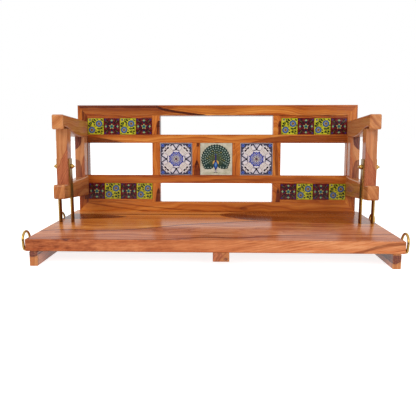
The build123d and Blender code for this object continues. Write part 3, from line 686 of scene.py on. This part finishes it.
def on_back(x, depth, height):
    """A point of the back's frame (mm across, behind its front plane, up along it), in metres."""
    lean_sin, lean_cos = math.sin(BACK_RECLINE), math.cos(BACK_RECLINE)
    y = BACK_FOOT_Y + depth * lean_cos + height * lean_sin
    z = height * lean_cos - depth * lean_sin
    return Vector((x * MM, y * MM + SEAT_FRONT_Y, z * MM + SEAT_TOP_Z))


def polar(centre, radius, angle):
    return (centre[0] + radius * math.cos(angle), centre[1] + radius * math.sin(angle))


def disc(centre, radius, wave=0.0, waves=0, count=0, turn=0.0, squash=1.0):
    """Points round a centre; the radius swells by a share, wave, in so many lobes."""
    count = count or max(14, waves * 6)
    points = []
    for index in range(count):
        angle = 2 * math.pi * index / count
        spot = polar((0, 0), radius * (1 + wave * math.cos(waves * (angle - turn))), angle)
        points.append((centre[0] + spot[0], centre[1] + spot[1] * squash))
    return points


def leaf(base, tip, width, bend=0.0, fullest=0.5, steps=7):
    """A pointed leaf from base to tip, with its middle pushed to the left by bend."""
    run = (tip[0] - base[0], tip[1] - base[1])
    left = (-run[1], run[0])
    length = math.hypot(*run)
    left = (left[0] / length, left[1] / length)
    sides = ([], [])
    for step in range(steps + 1):
        share = step / steps
        if share < fullest:
            swell = math.sin(0.5 * math.pi * share / fullest)
        else:
            swell = math.cos(0.5 * math.pi * (share - fullest) / (1 - fullest))
        push = bend * math.sin(math.pi * share)
        for side, sign in zip(sides, (1, -1)):
            reach = push + sign * 0.5 * width * swell
            side.append(tuple(base[k] + run[k] * share + left[k] * reach for k in (0, 1)))
    return sides[1] + sides[0][-2:0:-1]


def smooth_path(line, steps):
    """The line's points with a smooth curve through them, in so many steps from each to the next."""
    path = []
    for index in range(len(line) - 1):
        four = (line[max(index - 1, 0)], line[index], line[index + 1], line[min(index + 2, len(line) - 1)])
        for step in range(steps):
            t = step / steps
            spot = []
            for a, b, c, d in zip(*four):
                bend = (2 * a - 5 * b + 4 * c - d) * t ** 2 + (3 * b - a - 3 * c + d) * t ** 3
                spot.append(0.5 * (2 * b + (c - a) * t + bend))
            path.append(tuple(spot))
    return path + [line[-1]]


def stroke(line, width, steps=5, ends=0.35):
    """A brush stroke through some points, thinner at its ends."""
    path = smooth_path(line, steps)
    right, left = [], []
    for index, spot in enumerate(path):
        ahead = path[min(index + 1, len(path) - 1)]
        behind = path[max(index - 1, 0)]
        run = (ahead[0] - behind[0], ahead[1] - behind[1])
        length = math.hypot(*run) or 1.0
        share = index / (len(path) - 1)
        reach = 0.5 * width * (ends + (1 - ends) * math.sin(math.pi * share) ** 0.6)
        side = (-run[1] / length * reach, run[0] / length * reach)
        right.append((spot[0] - side[0], spot[1] - side[1]))
        left.append((spot[0] + side[0], spot[1] + side[1]))
    return right + left[::-1]


def flipped(points):
    """The points with left and right exchanged."""
    return [(1 - u, v) for u, v in points]


def swapped(points):
    """The points mirrored about the tile's rising diagonal."""
    return [(v, u) for u, v in points]


def turned(points, quarter_turns):
    """The points turned about the tile's middle."""
    for _ in range(quarter_turns):
        points = [(1 - v, u) for u, v in points]
    return points


def in_quarters(motifs):
    """Rows of (points, paint, layer, mirror) in all four quarters, with a mirror image where one is named."""
    shapes = []
    for quarter in range(4):
        for points, paint_name, layer, mirror in motifs:
            for outline in (points, mirror(points)) if mirror else (points,):
                shapes.append((turned(outline, quarter), paint_name, layer))
    return shapes


def spokes(centre, count, turn, leaves):
    """Leaves (start, end, width, fullest, lag, paint, layer) on each of so many spokes of a wheel.

    start and end are distances from the centre, and lag is an angle ahead of the spoke.
    """
    shapes = []
    for spoke in range(count):
        for start, end, width, fullest, lag, paint_name, layer in leaves:
            angle = turn + 2 * math.pi * spoke / count + lag
            petal = leaf(polar(centre, start, angle), polar(centre, end, angle), width, fullest=fullest)
            shapes.append((petal, paint_name, layer))
    return shapes


# How far the painting rises above the tile's face, by layer, and how deep it sinks into it.
FIRST_LAYER_MM = 0.1
LAYER_MM = 0.055
WITHIN_LAYER_MM = 0.05
PAINT_SINK_MM = 0.05
PAINT_MARGIN = 0.012


def painted_outline(points):
    """The points within the tile's margin, anticlockwise."""
    points = [(min(max(u, PAINT_MARGIN), 1 - PAINT_MARGIN), min(max(v, PAINT_MARGIN), 1 - PAINT_MARGIN))
              for u, v in points]
    area = sum(a[0] * b[1] - b[0] * a[1] for a, b in zip(points, points[1:] + points[:1]))
    return points[::-1] if area < 0 else points


def paint_tiles(name, slot, shapes, tiles, size):
    """Raised glaze on some tiles. shapes are (points in tile widths, paint, layer)."""
    mesh = bmesh.new()
    paints = list(dict.fromkeys(paint_name for points, paint_name, layer in shapes))
    for left, bottom in tiles:
        for index, (points, paint_name, layer) in enumerate(shapes):
            outline = painted_outline(points)
            rise = FIRST_LAYER_MM + layer * LAYER_MM + WITHIN_LAYER_MM * index / len(shapes)
            rims = []
            for depth in (TILE_FACE_DEPTH - rise, TILE_FACE_DEPTH + PAINT_SINK_MM):
                spots = [on_back(left + u * size, depth, bottom + v * size) for u, v in outline]
                rims.append([mesh.verts.new(spot) for spot in spots])
            top, foot = rims
            faces = [mesh.faces.new(top), mesh.faces.new(foot[::-1])]
            for corner in range(len(outline)):
                after = (corner + 1) % len(outline)
                faces.append(mesh.faces.new((top[after], top[corner], foot[corner], foot[after])))
            for face in faces:
                face.material_index = paints.index(paint_name)
    bmesh.ops.remove_doubles(mesh, verts=mesh.verts, dist=1e-9)
    bmesh.ops.triangulate(mesh, faces=[face for face in mesh.faces if len(face.verts) > 4])
    data = bpy.data.meshes.new(name)
    mesh.to_mesh(data)
    mesh.free()
    for paint_name in paints:
        data.materials.append(PAINTS[paint_name])
    piece = add_object(name, data)
    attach(piece, "frame")


def ring_flower(centre, radius, turn):
    """A round blue flower with petals, a broken pale ring and an ochre heart."""
    outer_petals = (
        (radius * 0.42, radius * 0.98, radius * 0.5, 0.62, 0, "blue", 1),
        (radius * 0.5, radius * 0.86, radius * 0.16, 0.5, 0, "sky", 2),
    )
    inner_petals = ((radius * 0.34, radius * 0.56, radius * 0.13, 0.5, 0, "navy", 4),)
    return [
        (disc(centre, radius * 1.02, 0.07, 9, turn=turn), "navy", 0),
        *spokes(centre, 9, turn, outer_petals),
        (disc(centre, radius * 0.5, 0.08, 9, turn=turn), "pale_grey", 3),
        *spokes(centre, 9, turn + math.pi / 9, inner_petals),
        (disc(centre, radius * 0.36, 0.05, 9), "rust", 5),
        (disc(centre, radius * 0.17), "ochre", 6),
    ]


def yellow_shapes():
    """Two blue flowers and a violet one among leaves."""
    stems = (
        ((0.12, 0.45), (0.17, 0.62), (0.27, 0.78), (0.36, 0.93)),
        ((0.27, 0.78), (0.38, 0.72), (0.44, 0.6)),
        ((0.56, 0.38), (0.7, 0.34), (0.86, 0.42)),
        ((0.48, 0.1), (0.64, 0.18), (0.88, 0.12)),
        ((0.74, 0.33), (0.78, 0.22), (0.7, 0.16)),
        ((0.4, 0.42), (0.5, 0.52), (0.58, 0.56)),
    )
    shapes = [(stroke(line, 0.03), "olive", 0) for line in stems]
    # Each leaf's base, tip and width, and its bend if it has one.
    leaves = (
        ((0.17, 0.56), (0.235, 0.79), 0.13, 0.02), ((0.17, 0.6), (0.07, 0.74), 0.07),
        ((0.13, 0.45), (0.045, 0.6), 0.1), ((0.13, 0.5), (0.25, 0.55), 0.05),
        ((0.37, 0.985), (0.545, 0.83), 0.085, -0.02), ((0.27, 0.79), (0.42, 0.82), 0.075),
        ((0.28, 0.86), (0.33, 0.97), 0.06), ((0.36, 0.76), (0.46, 0.7), 0.09),
        ((0.4, 0.66), (0.43, 0.54), 0.065), ((0.57, 0.985), (0.66, 0.9), 0.055),
        ((0.86, 0.86), (0.965, 0.91), 0.085), ((0.88, 0.88), (0.83, 0.98), 0.045),
        ((0.58, 0.4), (0.74, 0.315), 0.095), ((0.72, 0.4), (0.8, 0.3), 0.04),
        ((0.78, 0.35), (0.94, 0.44), 0.095), ((0.84, 0.36), (0.95, 0.31), 0.05),
        ((0.6, 0.17), (0.8, 0.135), 0.085), ((0.83, 0.25), (0.93, 0.14), 0.095),
        ((0.66, 0.2), (0.74, 0.26), 0.05), ((0.44, 0.15), (0.56, 0.09), 0.085),
        ((0.77, 0.09), (0.91, 0.06), 0.06), ((0.94, 0.5), (0.975, 0.62), 0.055),
        ((0.5, 0.3), (0.53, 0.22), 0.045), ((0.045, 0.05), (0.11, 0.075), 0.05),
    )
    for index, (base, tip, width, *bend) in enumerate(leaves):
        shapes.append((leaf(base, tip, width * 1.25, *bend), "leaf_green" if index % 3 else "moss", 1))
    for base, tip, width, *bend in leaves[::3]:
        shapes.append((leaf(base, tip, width * 0.22, *bend), "lime", 2))
    violet_middle = (0.15, 0.905)
    for petal in range(5):
        angle = 0.3 + 2 * math.pi * petal / 5
        shapes.append((disc(polar(violet_middle, 0.042, angle), 0.027, count=10), "cream", 1))
    shapes.append((disc(violet_middle, 0.055, 0.1, 5, count=20), "violet", 3))
    for spot in ((0.94, 0.06), (0.97, 0.22), (0.55, 0.95), (0.5, 0.3), (0.04, 0.06)):
        shapes.append((disc(spot, 0.018, count=8), "moss", 1))
    return shapes + ring_flower((0.715, 0.67), 0.205, 0.35) + ring_flower((0.258, 0.282), 0.2, 0.1)


def maroon_shapes():
    """A five-petalled flower between four small fans, on dark arabesques."""
    corner, centre = (0.095, 0.095), (0.5, 0.495)
    arabesques = in_quarters((
        (disc(corner, 0.06, 0.16, 5), "violet", 1, None),
        (disc(corner, 0.022, count=10), "royal", 2, None),
        (stroke(((0.2, 0.045), (0.245, 0.16), (0.33, 0.24), (0.315, 0.37)), 0.09), "umber", 0, flipped),
        (stroke(((0.245, 0.245), (0.17, 0.17), (0.2, 0.115)), 0.035), "olive", 1, None),
        (stroke(((0.275, 0.2), (0.35, 0.13), (0.385, 0.05)), 0.024), "rose", 1, flipped),
        (leaf((0.235, 0.32), (0.375, 0.365), 0.065), "ink", 1, swapped),
        (leaf((0.5, 0.33), (0.5, 0.235), 0.1), "umber", 0, None),
        (disc((0.5, 0.215), 0.078, squash=0.75, count=16), "midnight", 1, None),
        (leaf((0.5, 0.2), (0.5, 0.06), 0.13, fullest=0.4), "aqua", 2, None),
        (leaf((0.5, 0.17), (0.5, 0.085), 0.05), "pistachio", 3, None),
        (leaf((0.44, 0.155), (0.395, 0.105), 0.03), "aqua", 2, flipped),
    ))
    return [
        *arabesques,
        (disc(centre, 0.145, 0.08, 5, turn=-math.pi / 2), "umber", 1),
        *spokes(centre, 5, math.pi / 2, ((0.05, 0.178, 0.088, 0.45, 0, "biscuit", 2),)),
        (disc(centre, 0.108, 0.05, 5, turn=math.pi / 2), "leek", 3),
        (disc(centre, 0.066, count=18), "teal", 4),
        (disc(centre, 0.03, count=12), "midnight", 5),
    ]


def rosette_shapes():
    """A blue rosette in a four-lobed medallion with corner flowers."""
    corner, centre = (0.08, 0.08), (0.5, 0.5)
    medallion = in_quarters((
        # the border and the corner
        (((0.012, 0.012), (0.988, 0.012), (0.966, 0.042), (0.034, 0.042)), "slate", 0, None),
        (((0.03, 0.03), (0.262, 0.03), (0.225, 0.062), (0.19, 0.088), (0.168, 0.13), (0.13, 0.168),
          (0.088, 0.19), (0.062, 0.225), (0.03, 0.262)), "slate", 0, None),
        (disc(corner, 0.048, 0.12, 6), "cornflower", 1, None),
        (disc(corner, 0.021, count=12), "royal", 2, None),
        # the medallion's outline, from the lower node to the edge on either side
        (stroke(((0.5, 0.195), (0.462, 0.135), (0.418, 0.07), (0.36, 0.02)), 0.038, ends=0.8),
         "slate", 1, flipped),
        (leaf((0.372, 0.022), (0.305, 0.108), 0.052, -0.006), "slate", 1, flipped),
        (stroke(((0.5, 0.2), (0.452, 0.228), (0.398, 0.236)), 0.024), "slate", 1, flipped),
        (disc((0.5, 0.196), 0.034, count=14), "ink", 2, None),
        (stroke(((0.462, 0.042), (0.5, 0.095), (0.538, 0.042)), 0.012), "lilac_grey", 1, None),
        (leaf((0.5, 0.1), (0.5, 0.15), 0.02), "lilac_grey", 1, None),
        # the lobe's fill, its veins and the two dark leaves at its tip
        (leaf((0.4, 0.4), (0.13, 0.13), 0.36, fullest=0.52, steps=12), "cream_white", 0, None),
        (stroke(((0.4, 0.27), (0.35, 0.2), (0.335, 0.12)), 0.016), "sand", 1, swapped),
        (stroke(((0.365, 0.285), (0.315, 0.23), (0.285, 0.17)), 0.015), "khaki", 1, swapped),
        (stroke(((0.33, 0.31), (0.28, 0.255), (0.25, 0.215)), 0.013), "sand", 1, swapped),
        (leaf((0.122, 0.272), (0.2, 0.196), 0.058, fullest=0.4), "ink", 2, swapped),
        (stroke(((0.2, 0.2), (0.165, 0.165), (0.135, 0.135)), 0.026), "plum", 2, None),
        (leaf((0.215, 0.085), (0.3, 0.03), 0.04), "slate", 1, swapped),
        (stroke(((0.3, 0.105), (0.322, 0.17), (0.382, 0.222), (0.455, 0.205)), 0.013),
         "lilac_grey", 1, swapped),
        (stroke(((0.305, 0.1), (0.24, 0.078), (0.215, 0.12)), 0.013), "slate", 1, swapped),
    ))
    # Short petals alternate with long ones, with a dark leaf after each.
    petals = (
        (0.09, 0.232, 0.064, 0.66, 0, "iris", 1),
        (0.135, 0.2, 0.034, 0.6, 0, "periwinkle", 3),
        (0.17, 0.222, 0.022, 0.7, math.pi / 16, "navy", 2),
        (0.09, 0.262, 0.064, 0.66, math.pi / 8, "royal", 1),
        (0.135, 0.2, 0.034, 0.6, math.pi / 8, "lavender", 3),
        (0.17, 0.222, 0.022, 0.7, math.pi * 3 / 16, "navy", 2),
    )
    heart_petals = ((0.02, 0.118, 0.058, 0.6, 0, "ink", 5), (0.03, 0.106, 0.032, 0.6, 0, "bone", 6))
    return [
        *medallion,
        *spokes(centre, 8, 0, petals),
        (disc(centre, 0.142, 0.05, 16), "slate", 3),
        (disc(centre, 0.128, 0.06, 8, turn=math.pi / 8), "lavender", 4),
        *spokes(centre, 8, math.pi / 8, heart_petals),
        (disc(centre, 0.03, 0.1, 8), "plum", 7),
    ]


# The fan's first and last angle, its lobes and feathers, and its rings of eyes:
# (radius, how many, size of each).
FAN_SPAN = (213, -33)
FAN_LOBES = 22
FEATHERS = 44
EYE_RINGS = (
    (0.4, 21, 0.02), (0.332, 19, 0.018), (0.268, 16, 0.0155), (0.208, 12, 0.0125), (0.152, 8, 0.01))
PEACOCK_MIDDLE = 0.485


def eye(spot, size, rim_size, dot_size, dot_rise, rim, middle):
    """An eye of the fan: a dark disc, a three-lobed pale one and a blue dot a little above its middle."""
    return [
        (disc(spot, rim_size, count=14), rim, 4),
        (disc(spot, size, 0.06, 3, count=14), middle, 5),
        (disc((spot[0], spot[1] + dot_rise), dot_size, count=8), "royal", 6),
    ]


def peacock_shapes():
    """A peacock with its fan spread, drawn as feathers in rings behind a small body."""
    centre = (PEACOCK_MIDDLE, 0.5)

    def fan_spot(share, reach):
        """A spot on the fan: share runs from its lower left over the top to its lower right."""
        return polar(centre, reach, math.radians(FAN_SPAN[0] + (FAN_SPAN[1] - FAN_SPAN[0]) * share))

    def toothed_edge(steps, reach, tooth):
        return [fan_spot(step / steps, reach + tooth * (step % 2)) for step in range(steps + 1)]

    outline = []
    for step in range(FAN_LOBES * 6 + 1):
        share = step / (FAN_LOBES * 6)
        outline.append(fan_spot(share, 0.436 + 0.026 * abs(math.sin(math.pi * share * FAN_LOBES))))
    outline += [
        (0.885, 0.235), (0.845, 0.2), (0.8, 0.203), (0.76, 0.183), (0.715, 0.2), (0.67, 0.19),
        (0.63, 0.212), (0.585, 0.222), (0.55, 0.265), (0.485, 0.3), (0.425, 0.262), (0.395, 0.212),
        (0.355, 0.2), (0.32, 0.178), (0.275, 0.19), (0.235, 0.172), (0.195, 0.19), (0.15, 0.185),
        (0.12, 0.215), (0.085, 0.235),
    ]
    shapes = [(outline, "fan_green", 0)]
    for feather in range(FEATHERS):
        share = (feather + 0.5) / FEATHERS
        shapes.append((leaf(fan_spot(share, 0.2), fan_spot(share, 0.445), 0.012), "quill", 1))
    inner_foot = [(0.6, 0.27), (0.485, 0.31), (0.37, 0.27)]
    shapes.append((toothed_edge(60, 0.262, 0.012) + inner_foot, "fan_olive", 2))
    shapes.append((toothed_edge(40, 0.175, 0.008) + [(0.485, 0.36)], "fan_moss", 3))
    for reach, count, size in EYE_RINGS:
        for index in range(count):
            spot = fan_spot((index + 0.5) / count, reach)
            rim = "fan_dark" if reach > 0.25 else "fan_teal"
            middle = "eye_gold" if index % 4 == 2 and reach < 0.3 else "eye_light"
            shapes += eye(spot, size, size * 1.55, size * 0.36, size * 0.3, rim, middle)
    for spot in ((0.155, 0.232), (0.245, 0.232), (0.335, 0.245), (0.635, 0.25), (0.725, 0.24), (0.82, 0.245)):
        shapes += eye(spot, 0.019, 0.03, 0.007, 0, "fan_dark", "eye_light")
    for sign in (-1, 1):
        for points, paint_name, layer in (
            (leaf((0.512, 0.465), (0.572, 0.33), 0.046, 0.012), "apricot", 7),
            (leaf((0.525, 0.435), (0.566, 0.35), 0.016, 0.006), "amber", 8),
            (stroke(((0.495, 0.165), (0.502, 0.115), (0.492, 0.09)), 0.014), "lilac_grey", 7),
            (stroke(((0.49, 0.088), (0.52, 0.08), (0.548, 0.086)), 0.016), "slate", 7),
        ):
            points = [(PEACOCK_MIDDLE + sign * (u - PEACOCK_MIDDLE), v) for u, v in points]
            shapes.append((points, paint_name, layer))
    neck = ((0.485, 0.4), (0.478, 0.46), (0.49, 0.53), (0.485, 0.575))
    shapes += [
        (leaf((0.485, 0.145), (0.485, 0.455), 0.125), "navy", 8),
        (leaf((0.485, 0.215), (0.485, 0.435), 0.092), "body_blue", 9),
        (leaf((0.487, 0.265), (0.487, 0.4), 0.046), "sky", 10),
        (stroke(neck, 0.036, ends=0.75), "indigo", 9),
        (disc((0.481, 0.583), 0.025, count=14), "indigo", 10),
        (leaf((0.464, 0.586), (0.438, 0.576), 0.014), "amber", 10),
    ]
    crest = (0.483, 0.6)
    for tilt in (-0.5, 0.0, 0.5):
        top = polar(crest, 0.055, math.pi / 2 + tilt)
        shapes.append((stroke((crest, top), 0.007), "indigo", 10))
        shapes.append((disc(top, 0.009, count=8), "body_blue", 11))
    ground = ((0.05, 0.055), (0.3, 0.068), (0.7, 0.06), (0.95, 0.07))
    shapes.append((stroke(ground, 0.012), "sage", 0))
    for tuft in range(9):
        foot = 0.1 + tuft * 0.1
        shapes.append((leaf((foot, 0.055), (foot + 0.02, 0.085), 0.012), "sage", 1))
    return shapes


# The small tiles alternate along each row, beginning with a yellow one above and a maroon one below.
for row, row_bottom in SMALL_TILE_ROWS.items():
    for side, row_start in SMALL_TILE_STARTS.items():
        for colour_name, shapes in (("yellow", yellow_shapes()), ("maroon", maroon_shapes())):
            first = 0 if (row == "upper") == (colour_name == "yellow") else 1
            tiles = [(row_start + (first + step) * SMALL_TILE_PITCH, row_bottom) for step in (0, 2)]
            name = f"painting_{colour_name}_{row}_{side}"
            paint_tiles(name, colour_name + "_glaze", shapes, tiles, SMALL_TILE)
for tile_name, middle in LARGE_TILE_MIDDLES.items():
    shapes = peacock_shapes() if tile_name == "peacock" else rosette_shapes()
    slot = "peacock_glaze" if tile_name == "peacock" else "rosette_glaze"
    tiles = [(middle - LARGE_TILE / 2, LARGE_TILE_FOOT)]
    paint_tiles("painting_" + tile_name, slot, shapes, tiles, LARGE_TILE)


# ------------ studio

WORLD_LEVEL = 0.62
# How bright the room behind the camera is, and the range of directions over which it darkens.
ROOM_LEVEL = 0.1
ROOM_EDGE = (0.15, 0.75)
FLOOR_Z = -0.0002
FLOOR_REACH = 12.0
FLOOR_COLOUR = (0.85, 0.85, 0.85, 1)
FLOOR_GLOW = 0.84
FLOOR_REFLECTED_SHARE = 0.85
# Each lamp's place, size and power.
LAMPS = {
    "key_lamp": ((-1.3, -2.3, 2.0), 1.8, 38),
    "fill_lamp": ((1.7, -2.1, 1.2), 1.6, 20),
}
LAMP_AIM = (0, 0, 0.15)
CAMERA_PLACE = (0.02549, -1.37195, 0.33027)
CAMERA_PITCH = math.radians(90 - 9.176)
CAMERA_TURN = math.radians(1.893)
LENS_MM = 42.404
SENSOR_MM = 36.0


def studio_world():
    """White surroundings with a dark room behind the camera, which light the object at a plain level."""
    world = bpy.data.worlds.new("studio_world")
    bpy.context.scene.world = world
    graph = Graph(world)
    camera_ray, glossy_ray, glass_ray = graph.rays()
    direction = graph.parts(graph.node("TexCoord").outputs["Generated"])
    room = 1 - smooth(direction[1] * -1.0, *ROOM_EDGE) * (1 - ROOM_LEVEL)
    straight = either(camera_ray, glass_ray)
    shown = either(glossy_ray * room, straight)
    lit = (1 - either(glossy_ray, straight)) * WORLD_LEVEL
    backdrop = graph.node("Background", {"Color": (1, 1, 1, 1), "Strength": lit + shown})
    graph.node("OutputWorld", {"Surface": backdrop})


def studio_floor():
    """A pale floor that takes the object's shadow, is near white to the eye, and is clear from below."""
    corners = [(u * FLOOR_REACH, v * FLOOR_REACH, FLOOR_Z) for u, v in ((-1, -1), (1, -1), (1, 1), (-1, 1))]
    mesh = bpy.data.meshes.new("studio_floor")
    mesh.from_pydata(corners, [], [(0, 1, 2, 3)])
    add_object("studio_floor", mesh)

    graph = material_graph("studio_floor")
    camera_ray, glossy_ray = graph.rays()[:2]
    diffuse = graph.node("BsdfDiffuse", {"Color": FLOOR_COLOUR})
    glow = graph.node("Emission", {"Strength": camera_ray * FLOOR_GLOW})
    pale = graph.node("AddShader", (diffuse, glow))
    upper = graph.node("MixShader", (glossy_ray * FLOOR_REFLECTED_SHARE, pale, graph.node("Emission")))
    from_below = graph.node("NewGeometry").outputs["Backfacing"]
    one_sided = graph.node("MixShader", (from_below, upper, graph.node("BsdfTransparent")))
    graph.node("OutputMaterial", {"Surface": one_sided})
    mesh.materials.append(graph.owner)


def studio_lamps():
    """Two soft lamps in front of the object, to the left and to the right."""
    for name, (place, size, power) in LAMPS.items():
        lamp = bpy.data.lights.new(name, "AREA")
        lamp.shape = "SQUARE"
        lamp.size = size
        lamp.energy = power
        holder = add_object(name, lamp)
        holder.location = place
        aim = Vector(LAMP_AIM) - Vector(place)
        holder.rotation_euler = aim.to_track_quat("-Z", "Y").to_euler()


def studio_camera():
    lens = bpy.data.cameras.new("camera")
    lens.lens = LENS_MM
    lens.sensor_width = SENSOR_MM
    camera = add_object("camera", lens)
    camera.location = CAMERA_PLACE
    camera.rotation_euler = (CAMERA_PITCH, 0, CAMERA_TURN)
    bpy.context.scene.camera = camera


# ------------ finish the nodes

FIGURES_AND_PAINTED_SHADOWS = {
    "back_rail_top": top_rail_figure,
    "back_rail_upper": upper_rail_figure,
    "back_rail_lower": lower_rail_figure,
    "back_rail_bottom": bottom_rail_figure,
    "back_stile_left": stile_left_figure,
    "back_stile_right": stile_right_figure,
    "divider_upper_left": flame_figure(285, 240, (-189, -188, -187), (-176, -176.5, -177)),
    "divider_upper_right": flame_figure(285, 240, (196, 195.5, 195.5), (210, 206, 204)),
    "divider_lower_left": flame_figure(75, 28, (-194, -192, -188), (-176.5, -179, -181)),
    "divider_lower_right": flame_figure(77, 28, (189, 192, 194), (207, 203, 200)),
    "divider_middle_2": two_flames_figure,
    "divider_middle_3": divider_three_figure,
    "divider_middle_4": divider_four_figure,
    "front_post_left": front_post_figure(-1),
    "front_post_right": front_post_figure(1),
    "rear_post_left": rear_post_figure(-1),
    "rear_post_right": rear_post_figure(1),
    "side_batten_left": batten_left_painted_shadow,
    "side_batten_right": batten_right_painted_shadow,
    "centre_batten": centre_batten_figure,
}

# The wooden nodes: how each name starts, the axis of its grain, and its looks.
WOODS = (
    ("side_batten", "Y", {"tones": ARM_TONES, "tone": 0.05, "contrast": 0.7,
                          "other_tones": (BATTEN_INNER_LIT_TONES, batten_inner_painted_light_share)}),
    ("centre_batten", "Y", {"tones": ARM_TONES, "tone": 0.05, "contrast": 0.7}),
    ("back_rail_top", "X", {"tone": 0.02}),
    ("back_rail_upper", "X", {"tone": 0.08}),
    ("back_rail_lower", "X", {"tone": -0.08, "contrast": 0.9}),
    ("back_rail_bottom", "X", {"tone": 0.09, "contrast": 0.7, "extra_tone": bottom_rail_tone}),
    ("tile_fillets", "X", {}),
    ("back_stile_left", "Z", {"tone": -0.16, "contrast": 0.9}),
    ("back_stile_right", "Z", {"contrast": 0.9}),
    ("divider", "Z", {"tones": DIVIDER_TONES, "tone": 0.04}),
    ("front_post", "Z", {"tones": POST_TONES, "tone": 0.02, "contrast": 0.65}),
    ("rear_post", "Z", {"tones": POST_TONES, "tone": 0.14, "contrast": 0.65}),
    ("arm_rail", "Y", {"tones": ARM_TONES, "tone": 0.04, "contrast": 0.6}),
    ("lower_rail", "Y", {"tones": ARM_TONES, "tone": -0.05, "contrast": 0.6}),
    ("tile_backers", "X", {"tones": BOARD_TONES, "gloss": 0.38, "contrast": 0.8}),
    ("arm_dowels", "Z", {"tones": BOARD_TONES, "tone": 0.2, "gloss": 0.5}),
)

# The other nodes: a word in each name, the kind of material, and its looks.
OTHERS = (
    ("screws", steel, {}),
    ("bar_", brass, {"painted_dark_flats": True}),
    ("loop", brass, {"shine": 0.12}),
    ("nuts", brass, {"shine": 0.12}),
    ("bolts", brass, {"shine": 0.12}),
    ("yellow", glaze, {"colour": rgb(194, 190, 42), "deep": rgb(158, 154, 28)}),
    ("maroon", glaze, {"colour": rgb(106, 16, 26), "deep": rgb(72, 8, 16)}),
    ("peacock", glaze, {"colour": rgb(206, 202, 184), "deep": rgb(182, 178, 156), "crackle": 0.5}),
    ("large_tile", glaze, {"colour": rgb(226, 222, 228), "deep": rgb(200, 196, 206), "crackle": 0.3}),
)

SEAT_WOOD = wood(
    "seat_wood", "X", 3, tones=SEAT_TONES, pith=(120.0, -160.0), figure=seat_figure,
    other_tones=(SEAT_REAR_TONES, seat_rear_share), swirl=30.0, bands=(0.5, 0.7, 0.9), extra_tone=seat_tone_and_painted_light,
    contrast=seat_contrast, specular=0.18, lean=seat_lean,
)


def material_for(node, seed):
    """The material of a CAD node, by its name."""
    if node.startswith("seat_plank"):
        return SEAT_WOOD
    for start, grain, looks in WOODS:
        if node.startswith(start):
            return wood(node + "_wood", grain, seed, figure=FIGURES_AND_PAINTED_SHADOWS.get(node), **looks)
    for word, kind, looks in OTHERS:
        if word in node:
            return kind(f"{node}_{kind.__name__}", seed, **looks)
    raise ValueError(node + " has no material")


for index, node in enumerate(sorted(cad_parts)):
    material = material_for(node, index)
    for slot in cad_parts[node].material_slots:
        slot.material = material

bpy.context.scene.view_settings.view_transform = "Standard"
studio_world()
studio_floor()
studio_lamps()
studio_camera()
